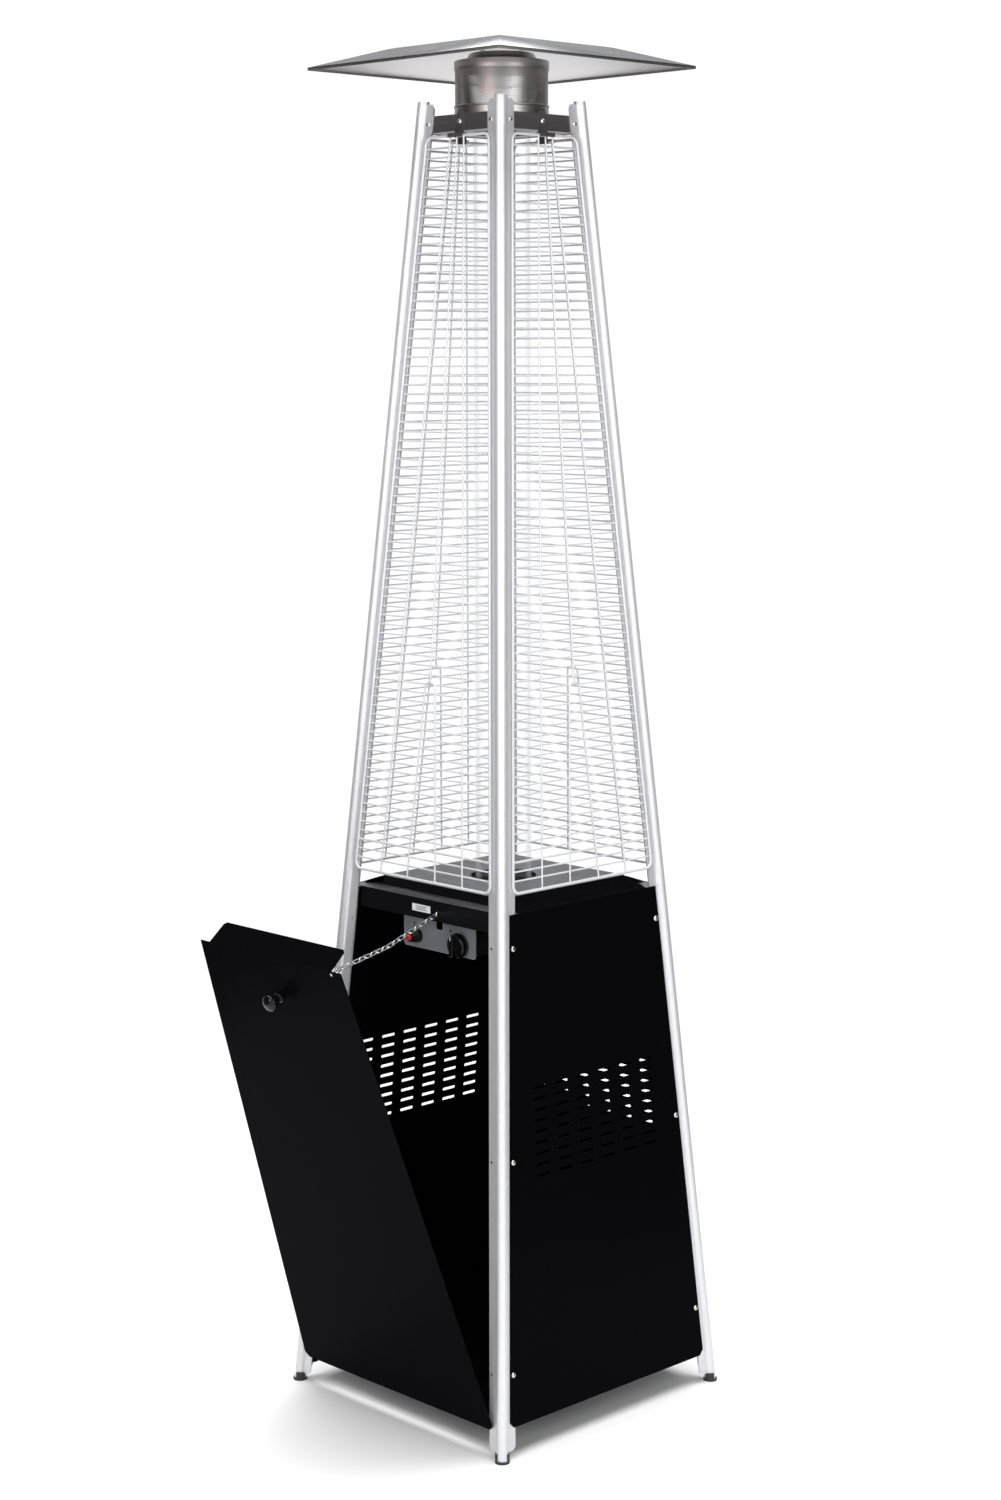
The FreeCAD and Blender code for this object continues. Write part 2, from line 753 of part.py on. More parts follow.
def make_chain():
    """Two straight halves of links, meeting at a slight sag."""
    start = staple_point()
    end = hook_point()
    middle = (start + end) * 0.5 - Vector(0, 0, chain_sag)
    run = middle.sub(start).Length
    first = link_length / 2 - link_wire - staple_wire - 0.2
    pitch = (run - first) / (chain_half_links - 0.5)
    side = end.sub(start).cross(Vector(0, 0, 1)).normalize()
    halves = (("chain_upper", start, 1, 0), ("chain_lower", end, -1, 1))
    for name, anchor, way, offset in halves:
        along = middle.sub(anchor).normalize()
        up = side.cross(along * way).normalize()
        links = []
        for k in range(chain_half_links):
            centre = anchor.add(along * (first + k * pitch))
            turn = math.radians(20 + 90 * ((k + offset) % 2))
            flat = side * math.cos(turn) + up * math.sin(turn)
            links.append(link(centre, along, flat))
        save(name, Part.makeCompound(links))


# ---------------------------------------------------------------- controls
def make_control_plate():
    y = plate_face
    plate = block(-plate_half, plate_half, y, y + plate_thick, plate_low, plate_high)
    upright = [e for e in plate.Edges if abs(e.tangentAt(e.FirstParameter).y) > 0.9]
    plate = plate.makeFillet(plate_corner, upright)
    for x, radius in ((knob_x, stem_radius * 2), (igniter_x, 8.4)):
        plate = plate.cut(rod(radius, Vector(x, y - 5, control_z), Vector(x, y + 5, control_z)))
    notch = block(-8, 8, y - 1, y + plate_thick + 1, 829, plate_high + 1)
    foot_round = rod(4, Vector(-4, y - 1, 829), Vector(-4, y + 5, 829))
    other_round = rod(4, Vector(4, y - 1, 829), Vector(4, y + 5, 829))
    between = block(-4, 4, y - 1, y + 5, 825, 829)
    plate = plate.cut(Part.makeCompound([notch, foot_round, other_round, between]))
    save("control_plate", plate)


def make_valve():
    back = plate_face + plate_thick
    x = knob_x
    z = control_z
    neck = rod(10.0, Vector(x, back + 6, z), Vector(x, back + 18, z))
    body = block(x - 17, x + 17, back + 18, back + 46, z - 20, z + 17)
    outlet_y = back + 32
    outlet = rod(8.0, Vector(x - 30, outlet_y, z - 11), Vector(x - 17, outlet_y, z - 11))
    valve = fuse([neck, body, outlet])
    stem_bore = stem_radius + stem_play
    valve = valve.cut(rod(stem_bore, Vector(x, back, z), Vector(x, back + 17, z)))
    save("gas_valve", valve)
    flange_plate = block(x - 24, x + 24, back, back + 6, z - 14, z + 14)
    passage = rod(stem_radius * 2, Vector(x, back - 1, z), Vector(x, back + 7, z))
    flange_plate = flange_plate.cut(passage)
    save("valve_bracket", flange_plate)
    root = Vector(x, back + 46, z - 4)
    shoulder = root.add(Vector(0, inlet_collar, 0))
    tip = shoulder.add(Vector(0, inlet_thread, 0))
    inlet = fuse([rod(9.5, root, shoulder), rod(inlet_radius, shoulder, tip)])
    save("gas_inlet", inlet.cut(rod(3.0, root, tip)))


def make_dial():
    """Round control dial with a raised grip bar, on a stem that can be pushed in."""
    x = knob_x
    z = control_z
    back_y = plate_face - dial_gap
    base = rod(dial_radius, Vector(x, back_y - 8, z), Vector(x, back_y, z))
    shoulder_end = Vector(x, back_y - 8, z)
    shoulder = Part.makeCone(dial_radius, dial_radius - 4, 4, shoulder_end, Vector(0, -1, 0))
    tip_y = back_y - dial_depth + dial_gap
    grip = block(x - 6, x + 6, tip_y, back_y - 4, z - dial_radius + 1, z + dial_radius - 1)
    dial = fuse([base, shoulder, grip])
    bore_end = Vector(x, back_y - 12, z)
    dial = dial.cut(rod(stem_radius + 0.05, Vector(x, back_y + 1, z), bore_end))
    save("control_knob", dial)
    stem_end = Vector(x, plate_face + plate_thick + 17 - push_travel - 1, z)
    stem = rod(stem_radius, Vector(x, back_y - 12, z), stem_end)
    save("valve_stem", stem)


def make_igniter():
    x = igniter_x
    z = control_z
    y = plate_face
    taper = Part.makeCone(11.5, 7.6, 22, Vector(x, y, z), Vector(0, -1, 0))
    barrel = rod(8.2, Vector(x, y + 42, z), Vector(x, y, z))
    body = fuse([taper, barrel])
    body = body.cut(rod(igniter_bore, Vector(x, y + 12, z), Vector(x, y - 23, z)))
    save("igniter_body", body)
    front_y = y - 25
    rim = Vector(x, front_y + 1.5, z)
    cap = rod(button_radius, rim, Vector(x, y + 12 - igniter_travel - 1, z))
    crown = Part.makeCone(button_radius, button_radius - 1.2, 1.5, rim, Vector(0, -1, 0))
    save("igniter_button", fuse([cap, crown]))
    nut = rod(12.5, Vector(x, y + plate_thick, z), Vector(x, y + plate_thick + 5, z))
    nut = nut.cut(rod(8.3, Vector(x, y, z), Vector(x, y + 10, z)))
    save("igniter_nut", nut)


# ---------------------------------------------------------------- burner
def make_burner():
    under = deck_top - deck_sheet
    floor_z = under - bowl_depth
    outer = Part.makeCylinder(deck_hole + bowl_wall, bowl_depth, Vector(0, 0, floor_z))
    room = Part.makeCylinder(deck_hole, bowl_depth, Vector(0, 0, floor_z + bowl_wall))
    rim = Part.makeCylinder(bowl_flange, bowl_wall, Vector(0, 0, under - bowl_wall))
    bowl = fuse([outer, rim]).cut(room)
    holes = [rod(burner_stem + slide_gap, Vector(0, 0, floor_z - 1), Vector(0, 0, floor_z + 5))]
    for x in (-probe_x, probe_x):
        holes.append(rod(2.6, Vector(x, 0, floor_z - 1), Vector(x, 0, floor_z + 5)))
    save("burner_bowl", bowl.cut(Part.makeCompound(holes)))
    stem = rod(burner_stem, Vector(0, 0, floor_z - 24), Vector(0, 0, burner_low))
    drum = rod(burner_radius, Vector(0, 0, burner_low), Vector(0, 0, burner_high))
    dome = Part.makeCone(burner_radius, burner_radius - 9, 4, Vector(0, 0, burner_high))
    head = fuse([stem, drum, dome])
    ports = []
    for n in range(port_count):
        angle = 2 * math.pi * n / port_count
        out = Vector(math.cos(angle), math.sin(angle), 0)
        start = out * (burner_radius - 4) + Vector(0, 0, burner_high - 6)
        ports.append(rod(port_radius, start, start.add(out * 8)))
    head = head.cut(Part.makeCompound(ports))
    bore_low = Vector(0, 0, floor_z - 25)
    gas_way = rod(pipe_radius + slide_gap, bore_low, Vector(0, 0, burner_low + 6))
    save("burner_head", head.cut(gas_way))
    tip = Vector(probe_x, 0, burner_high + 4)
    save("spark_electrode", rod(2.5, Vector(probe_x, 0, floor_z - 14), tip))
    tip = Vector(-probe_x, 0, burner_high + 8)
    save("thermocouple", rod(2.2, Vector(-probe_x, 0, floor_z - 20), tip))
    switch = block(-102, -72, -62, -32, under - 22, under)
    save("tilt_switch", switch)


def make_supply_pipe():
    """Pipe from the valve to the burner: straight runs joined by tangent bends."""
    under = deck_top - deck_sheet - bowl_depth
    outlet_y = plate_face + plate_thick + 32
    run_z = control_z - 11
    start = Vector(knob_x - 30, outlet_y, run_z)
    route = [start, Vector(0, outlet_y, run_z)]
    route += [Vector(0, 0, run_z), Vector(0, 0, under - 14)]
    bend = 9.0
    edges = []
    here = route[0]
    for before, corner, after in zip(route, route[1:], route[2:]):
        back = before.sub(corner).normalize() * bend
        ahead = after.sub(corner).normalize() * bend
        inner = corner.add((back + ahead) * (1 - math.sqrt(0.5)))
        edges.append(Part.makeLine(here, corner.add(back)))
        edges.append(Part.Arc(corner.add(back), inner, corner.add(ahead)).toShape())
        here = corner.add(ahead)
    edges.append(Part.makeLine(here, route[-1]))
    path = Part.Wire(edges)
    ring = Part.Wire(Part.makeCircle(pipe_radius, start, route[1].sub(start)))
    save("supply_pipe", path.makePipeShell([ring], True, True))


# ---------------------------------------------------------------- tube
def make_tube():
    seat_top = tube_bottom - gasket_thick
    seat = Part.makeCylinder(deck_hole, seat_thick, Vector(0, 0, seat_top - seat_thick))
    seat = seat.cut(Part.makeCylinder(tube_radius - 7.5, 20, Vector(0, 0, seat_top - 10)))
    slots = []
    for n in range(12):
        angle = math.radians(30 * n)
        centre = Vector(math.cos(angle), math.sin(angle), 0) * (tube_radius + 4.1)
        slots.append(Part.makeCylinder(3.0, 20, centre + Vector(0, 0, seat_top - 10)))
    save("tube_seat", seat.cut(Part.makeCompound(slots)))
    outer = Part.makeCylinder(tube_radius, tube_top - tube_bottom, Vector(0, 0, tube_bottom))
    bore = Part.makeCylinder(tube_radius - tube_wall, tube_top, Vector(0, 0, tube_bottom - 1))
    save("glass_tube", outer.cut(bore))
    rings = []
    for z, low_radius, high_radius in (
        (seat_top, tube_radius - tube_wall - 1, tube_radius + 1),
        (head_plate_z - 1, tube_radius + slide_gap, tube_radius + 2.3),
    ):
        ring = Part.makeCylinder(high_radius, gasket_thick, Vector(0, 0, z))
        rings.append(ring.cut(Part.makeCylinder(low_radius, 9, Vector(0, 0, z - 1))))
    save("tube_gaskets", Part.makeCompound(rings))


# ---------------------------------------------------------------- head
def make_straps():
    back = flange_inset + flange_thick
    half = spread(strap_high) - nose_radius / math.sqrt(2) - nose_radius - 0.8
    side = [(-half, strap_low), (half, strap_low), (half, strap_high), (-half, strap_high)]
    strap = prism([on_right(back, y, z) for y, z in side], Vector(-strap_thick, 0, 0))
    drill = right_drill(strap_screw_inset, strap_screw_z, screw_hole)
    middle = on_right(back, 0, strap_screw_z)
    reach = right_normal * 15
    centre_drill = rod(screw_hole, middle.sub(reach), middle.add(reach))
    holes = [drill, mirrored(drill, Vector(0, 1, 0)), centre_drill]
    strap = strap.cut(Part.makeCompound(holes))
    save("top_straps", Part.makeCompound([quarter(strap, n) for n in range(4)]))


def make_clips():
    """Tapered clip on the middle of each strap, with a hooked foot over the guard."""
    back = flange_inset + flange_thick
    top = strap_high + 6
    low = guard_high - 1
    side = [(-6.5, top - 4), (-4, top), (4, top), (6.5, top - 4)]
    side += [(10.5, low + 4), (-10.5, low + 4)]
    tongue = prism([on_right(back, y, z) for y, z in side], Vector(clip_sheet, 0, 0))
    wide = clip_half
    foot_z = low - 2
    front_x = spread(foot_z) - back
    reach = guard_frame_wire + 6.5
    bar = block(front_x, front_x + clip_sheet, -10.5, 10.5, foot_z, low + 6)
    shelf_z = guard_high + guard_frame_wire / 2 + 0.3
    shelf_top = shelf_z + clip_sheet
    edge = front_x + reach
    shelf = block(front_x, edge, -wide, wide, shelf_z, shelf_top)
    lip = block(edge - clip_sheet, edge, -wide, wide, foot_z + 0.5, shelf_top)
    clip = fuse([tongue, bar, shelf, lip])
    reach_in = right_normal * 15
    middle = on_right(back, 0, strap_screw_z)
    clip = clip.cut(rod(screw_hole, middle.sub(reach_in), middle.add(reach_in)))
    spare = on_right(back, 0, strap_screw_z + 9)
    clip = clip.cut(rod(1.5, spare.sub(reach_in), spare.add(reach_in)))
    save("guard_clips", Part.makeCompound([quarter(clip, n) for n in range(4)]))


def make_head():
    half = spread(head_plate_z + head_plate_thick) - flange_inset - flange_thick - strap_thick
    half = half - slide_gap
    cut = 24.0
    outline = [(half, half - cut), (half - cut, half), (cut - half, half), (-half, half - cut)]
    outline += [(-x, -y) for x, y in outline]
    points = [Vector(x, y, head_plate_z) for x, y in outline]
    plate = prism(points, Vector(0, 0, head_plate_thick))
    hole = Part.makeCylinder(tube_radius + 2.5, 10, Vector(0, 0, head_plate_z - 5))
    save("head_plate", plate.cut(hole))

    def shell(radius, wall, z0, z1):
        solid = Part.makeCylinder(radius, z1 - z0, Vector(0, 0, z0))
        return solid.cut(Part.makeCylinder(radius - wall, z1 - z0 + 2, Vector(0, 0, z0 - 1)))

    band_low = head_plate_z + head_plate_thick
    band = shell(head_radius_outer, head_wall, band_low, screen_low)
    bead = shell(
        head_radius_outer + bead_proud, bead_proud + head_wall, screen_low - 3, screen_low
    )
    save("head_band", fuse([band, bead]))
    save("perforated_screen", shell(head_radius_outer, head_wall, screen_low, screen_high))
    save("head_cap", cap())


def cap():
    """Cap of the head: rim, flat shoulder, short slope and a ring round an open middle."""
    outer = head_radius_outer + 0.6
    wall = cap_wall
    outline = [(outer, screen_high), (outer, cap_rim), (cap_shoulder, cap_rim)]
    outline += [(cap_ring, cap_top), (cap_hole, cap_top), (cap_hole, cap_top - wall)]
    outline += [(cap_ring - wall / 2, cap_top - wall), (cap_shoulder - wall / 2, cap_rim - wall)]
    outline += [(outer - wall, cap_rim - wall), (outer - wall, screen_high)]
    points = [Vector(r, 0, z) for r, z in outline]
    face = Part.Face(Part.makePolygon(points + points[:1]))
    return face.revolve(Vector(0, 0, 0), Vector(0, 0, 1), 360)


def stud_places():
    return [quarter(Part.Vertex(stud_circle, 0, cap_top), n).Point for n in range(4)]


def make_reflector():
    """Square dish: a flat middle, four sloping sides and a short folded hem."""
    def frustum(grow, drop):
        low = [Vector(x, y, reflector_rim_z + drop) for x, y in square(reflector_rim + grow)]
        high = [Vector(x, y, reflector_top + drop) for x, y in square(reflector_flat + grow)]
        wires = [Part.makePolygon(ring + ring[:1]) for ring in (low, high)]
        return Part.makeLoft(wires, True, True)

    dish = frustum(0, 0).cut(frustum(0, -reflector_sheet))
    outside = block(
        -reflector_rim, reflector_rim, -reflector_rim, reflector_rim,
        reflector_rim_z - reflector_hem, reflector_rim_z,
    )
    inner = reflector_rim - reflector_sheet
    inside = block(
        -inner, inner, -inner, inner, reflector_rim_z - reflector_hem - 1, reflector_rim_z + 1
    )
    hem = outside.cut(inside)
    dish = fuse([dish, hem])
    drills = [rod(screw_hole, p, p.add(Vector(0, 0, 30))) for p in stud_places()]
    dish = dish.cut(Part.makeCompound(drills))
    save("reflector", dish)
    under = reflector_top - reflector_sheet
    studs = []
    for place in stud_places():
        end = Vector(place.x, place.y, under)
        stud = rod(stud_radius, place, end)
        pocket = rod(screw_radius + 0.1, end.sub(Vector(0, 0, 9)), end)
        studs.append(stud.cut(pocket))
    save("reflector_studs", Part.makeCompound(studs))


def make_top_screws():
    """Screws of the straps, the clips and the reflector."""
    screws = []
    side = spread(strap_screw_z) - strap_screw_inset
    for turns in range(4):
        for y in (-side, side):
            seat = on_right(flange_inset, y, strap_screw_z)
            screws.append(quarter(pan_screw(seat, right_normal, screw_length), turns))
        seat = on_right(flange_inset + flange_thick, 0, strap_screw_z).add(Vector(clip_sheet, 0, 0))
        screws.append(quarter(pan_screw(seat, right_normal, screw_length), turns))
    for place in stud_places():
        seat = Vector(place.x, place.y, reflector_top)
        screws.append(pan_screw(seat, Vector(0, 0, 1), reflector_sheet + 8))
    save("top_screws", Part.makeCompound(screws))


# ---------------------------------------------------------------- wire guards
def guard_heights():
    """Heights of the cross wires, from the top frame wire down."""
    z = guard_high - guard_first_gap
    found = [guard_high]
    while z > guard_low + guard_pitch * 0.6:
        found.append(z)
        z -= guard_pitch
    return found + [guard_low]


def uprights(z):
    """Where the inner uprights cross a height, as distances from the middle."""
    share = (guard_high - z) / (guard_high - guard_low)
    outer = inner_top + (inner_low - inner_top) * share
    if z > fork_z:
        return [-outer, 0.0, outer]
    fork = fork_high + (fork_low - fork_high) * (fork_z - z) / (fork_z - guard_low)
    return [-outer, -fork, fork, outer]


def guard():
    """A welded grille of flat bars: the spaces between its wires are cut out."""
    half_frame = guard_frame_wire / 2
    half_cross = guard_cross_wire / 2
    inset = flange_inset - 0.2 - guard_frame_wire

    def side_at(z):
        return spread(z) - guard_side

    def window(z0, z1, left, right, wall_left, wall_right):
        points = []
        for z, first in ((z0, True), (z1, False)):
            pair = [left(z) + wall_left, right(z) - wall_right]
            points += [(pair[0], z), (pair[1], z)] if first else [(pair[1], z), (pair[0], z)]
        return Part.makePolygon([on_right(inset, y, z) for y, z in points + points[:1]])

    bottom = guard_low - half_frame
    top = guard_high + half_frame
    cut = guard_corner * 0.6
    outline = []
    for z, grow in ((bottom, -cut), (bottom + cut, 0), (top - cut, 0), (top, -cut)):
        outline.append((side_at(z) + half_frame + grow, z))
    outline += [(-y, z) for y, z in reversed(outline)]
    points = [on_right(inset, y, z) for y, z in outline]
    wires = [Part.makePolygon(points + points[:1])]
    heights = guard_heights()
    for row, (high, low) in enumerate(zip(heights, heights[1:])):
        z1 = high - (half_frame if row == 0 else half_cross)
        z0 = low + (half_frame if row == len(heights) - 2 else half_cross)
        count = len(uprights((z0 + z1) / 2))
        if len(uprights(z0)) != len(uprights(z1)):
            count = 3

        def lines(index, z, count=count):
            if index == 0:
                return -side_at(z)
            if index == count + 1:
                return side_at(z)
            inside = uprights(z if count == 4 else max(z, fork_z + 1))
            return inside[index - 1] if count == len(inside) else 0.0

        for column in range(count + 1):
            wall_left = half_frame if column == 0 else half_cross
            wall_right = half_frame if column == count else half_cross
            wires.append(
                window(
                    z0, z1, lambda z, c=column: lines(c, z), lambda z, c=column: lines(c + 1, z),
                    wall_left, wall_right,
                )
            )
    face = Part.Face(wires)
    return face.extrude(Vector(-guard_frame_wire, 0, 0))


def make_guards():
    grille = guard()
    for name, turns in (("right", 0), ("back", 1), ("left", 2), ("front", 3)):
        save("guard_" + name, quarter(grille, turns))


def report_joints():
    """Prints the axes that the joints turn on, for the record."""
    spindle = opened(Part.Vertex(latch_point(0))).Point
    normal_tip = opened(Part.Vertex(latch_point(0).add(door_normal))).Point
    print("door pivot", door_pin_point(0), "range", -door_open_angle)
    print("latch spindle", spindle, "axis", normal_tip.sub(spindle))
    start = staple_point()
    end = hook_point()
    closed_end = hook_point_closed()
    middle = (start + end) * 0.5 - Vector(0, 0, chain_sag)
    print("chain start", start, "middle", middle, "end", end, "closed end", closed_end)


os.makedirs("parts", exist_ok=True)
make_legs()
make_panels()
make_panel_screws()
make_tray()
make_door()
make_latch()
make_door_hinge()
make_deck()
make_deck_brackets()
make_beam()
make_staple()
make_hook()
make_chain()
make_control_plate()
make_valve()
make_dial()
make_igniter()
make_burner()
make_supply_pipe()
make_tube()
make_straps()
make_clips()
make_head()
make_reflector()
make_top_screws()
make_guards()
report_joints()
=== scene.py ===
import json
import math

import bpy
from mathutils import Matrix, Vector


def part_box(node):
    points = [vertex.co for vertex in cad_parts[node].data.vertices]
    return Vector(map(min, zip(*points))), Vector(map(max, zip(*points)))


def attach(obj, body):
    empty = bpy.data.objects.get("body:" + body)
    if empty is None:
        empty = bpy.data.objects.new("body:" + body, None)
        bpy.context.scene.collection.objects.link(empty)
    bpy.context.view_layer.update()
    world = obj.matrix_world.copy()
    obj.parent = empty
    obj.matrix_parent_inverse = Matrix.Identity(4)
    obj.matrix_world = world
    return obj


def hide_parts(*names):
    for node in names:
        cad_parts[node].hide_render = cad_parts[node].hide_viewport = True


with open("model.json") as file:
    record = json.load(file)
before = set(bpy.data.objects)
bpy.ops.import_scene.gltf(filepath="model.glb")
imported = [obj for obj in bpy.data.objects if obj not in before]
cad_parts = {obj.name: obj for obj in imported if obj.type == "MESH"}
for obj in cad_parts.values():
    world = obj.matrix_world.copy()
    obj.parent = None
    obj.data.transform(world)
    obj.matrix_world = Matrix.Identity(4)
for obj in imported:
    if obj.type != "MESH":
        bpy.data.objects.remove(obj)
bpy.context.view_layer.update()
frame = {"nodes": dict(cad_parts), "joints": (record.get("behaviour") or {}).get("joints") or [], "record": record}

bl_info = {
    "name": "Patio heater",
    "version": (1, 0, 0),
    "blender": (4, 5, 0),
    "location": "View3D > Sidebar > Heater",
    "description": "Builds the visible pieces and finishes of a tall square gas patio heater",
    "category": "Object",
}

MM = 0.001
QUARTERS = (("right", 0), ("back", 1), ("left", 2), ("front", 3))

# ---- the leaning planes of the heater, read from the frame ----
GUARD_LOW, GUARD_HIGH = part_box("guard_right")
GUARD_DEPTH = 5.0 * MM
GUARD_PROUD = 0.7 * MM          # a guard's outer face stands this far outside the leg noses
GUARD_CHAMFER = 8.4 * MM        # the guard is widest this far above its lower edge
LEAN = (GUARD_HIGH.x - GUARD_LOW.x - GUARD_DEPTH) / (GUARD_HIGH.z - GUARD_LOW.z)
SLOPE = math.atan(LEAN)
FLOOR_SPREAD = GUARD_HIGH.x - GUARD_PROUD + LEAN * GUARD_LOW.z
FACE_NORMAL = Vector((1, 0, LEAN)).normalized()
UP = Vector((0, 0, 1))
PLATE_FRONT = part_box("control_plate")[0].y

# ---- wire guards ----
FIRST_GAP = 18.0 * MM           # top of the frame wire to the first cross wire
STOUT_ROWS = (0, 40, 75)        # cross wires of a thicker gauge
STOUT = 1.3
UPRIGHT_HIGH = 15.5 * MM        # an upright's distance from the middle at the top
UPRIGHT_LOW = 99.0 * MM         # and at the bottom
FORK_TOP = 1230.0 * MM          # where the fork's two legs meet their bow
FORK_BOW = 12.0 * MM
FORK_FOOT = 34.0 * MM

# ---- head: sizes of the cap are in millimetres ----
SCREEN_INSET = 1.0 * MM
SCREEN_TUCK = 2.0 * MM          # how far the ring reaches into the band and the cap
SCREEN_SHEET = 0.6 * MM
CAP_RIM = 15.0
CAP_SHOULDER = 64.0
CAP_TOP = 50.0
CAP_HOLE = 36.0
RIVETS = 12
RIVET_SHAPE = ((0, 0.55), (0.9, 0.45), (1.5, 0.0), (1.5, -0.6), (0, -0.6))
HEM = 5.0 * MM
FLAT_HALF = 117.5 * MM
CREASE = 16.0 * MM

# ---- screws: their distance in from the nose line, and the depth of the face they sit on ----
SCREW_INSET = 29.0 * MM
PANEL_FACE = 3.5 * MM
STRAP_SCREW_INSET = 26.0 * MM
FLANGE_FACE = 4.5 * MM
CLIP_FACE = 5.0 * MM

# ---- door knob ----
DOOR_SKIN = 1.4 * MM
KNOB_SPINDLE = 17.8             # in millimetres, behind the door's face

# ---- stage ----
FLOOR_SIZE = (2.9, 5.4)         # across the view and along it
FLOOR_FORWARD = 0.5
BACKGROUND = 1.06
KEY_POWER = 72
TOP_POWER = 720
CAMERA_PLACE = (3.2093, -3.1278, 1.7693)
CAMERA_TURN = 45.736
CAMERA_PITCH = 8.341
CAMERA_YAW = -0.062
CAMERA_ROLL = -0.160
CAMERA_LENS = 64.33


def spread(z):
    """Half the width between the lines of the leg noses at a height."""
    return FLOOR_SPREAD - LEAN * z


def on_right(inset, side, z):
    """A point parallel to the right face, this far behind the line of the noses."""
    return Vector((spread(z) - inset, side, z))


# ---------------------------------------------------------------- settings
class HeaterSizes(bpy.types.PropertyGroup):
    """Sizes that a maker would change, in metres."""

    frame_wire: bpy.props.FloatProperty(
        name="Frame wire", description="Thickness of a guard's outer wire",
        default=5.0 * MM, unit="LENGTH")
    cross_wire: bpy.props.FloatProperty(
        name="Cross wire", description="Thickness of a guard's inner wires",
        default=3.0 * MM, unit="LENGTH")
    wire_pitch: bpy.props.FloatProperty(
        name="Wire pitch", description="Distance between the cross wires",
        default=15.2 * MM, unit="LENGTH")
    frame_corner: bpy.props.FloatProperty(
        name="Corner radius", description="Bend of the guard's outer wire",
        default=13.0 * MM, unit="LENGTH")
    hole_pitch: bpy.props.FloatProperty(
        name="Hole pitch", description="Distance between the screen's holes along a row",
        default=4.8 * MM, unit="LENGTH")
    hole_radius: bpy.props.FloatProperty(
        name="Hole radius", description="Radius of a hole in the screen",
        default=1.2 * MM, unit="LENGTH")
    screw_head: bpy.props.FloatProperty(
        name="Screw head", description="Radius of a screw's head",
        default=4.6 * MM, unit="LENGTH")
    sheet: bpy.props.FloatProperty(
        name="Reflector sheet", description="Thickness of the reflector's sheet",
        default=0.8 * MM, unit="LENGTH")


class HeaterColours(bpy.types.PropertyGroup):
    """Colours of the finishes."""

    panel: bpy.props.FloatVectorProperty(
        name="Panels", description="Coating of the cabinet", subtype="COLOR",
        default=(0.0022, 0.0022, 0.0030))
    aluminium: bpy.props.FloatVectorProperty(
        name="Legs", description="Anodised aluminium of the legs", subtype="COLOR",
        default=(0.71, 0.71, 0.74))
    wire: bpy.props.FloatVectorProperty(
        name="Wire", description="Coating of the guards", subtype="COLOR",
        default=(0.66, 0.66, 0.69))
    steel: bpy.props.FloatVectorProperty(
        name="Steel", description="Brushed sheet of the head and reflector", subtype="COLOR",
        default=(0.60, 0.59, 0.59))
    button: bpy.props.FloatVectorProperty(
        name="Button", description="Igniter button", subtype="COLOR",
        default=(0.62, 0.004, 0.012))
    backdrop: bpy.props.FloatVectorProperty(
        name="Backdrop", description="Floor and background", subtype="COLOR",
        default=(0.93, 0.93, 0.93))


def sizes():
    return bpy.context.scene.heater_sizes


def colours():
    return bpy.context.scene.heater_colours


# ---------------------------------------------------------------- shader writing
class Signal:
    """An output of a shader node. Sums with it add the nodes that work them out."""

    def __init__(self, finish, socket):
        self.finish = finish
        self.socket = socket

    def maths(self, operation, first, second):
        return self.finish.node(
            "ShaderNodeMath", {"operation": operation}, {0: first, 1: second})

    def __add__(self, other):
        return self.maths("ADD", self, other)

    def __radd__(self, other):
        return self.maths("ADD", other, self)

    def __sub__(self, other):
        return self.maths("SUBTRACT", self, other)

    def __rsub__(self, other):
        return self.maths("SUBTRACT", other, self)

    def __mul__(self, other):
        return self.maths("MULTIPLY", self, other)

    def __rmul__(self, other):
        return self.maths("MULTIPLY", other, self)


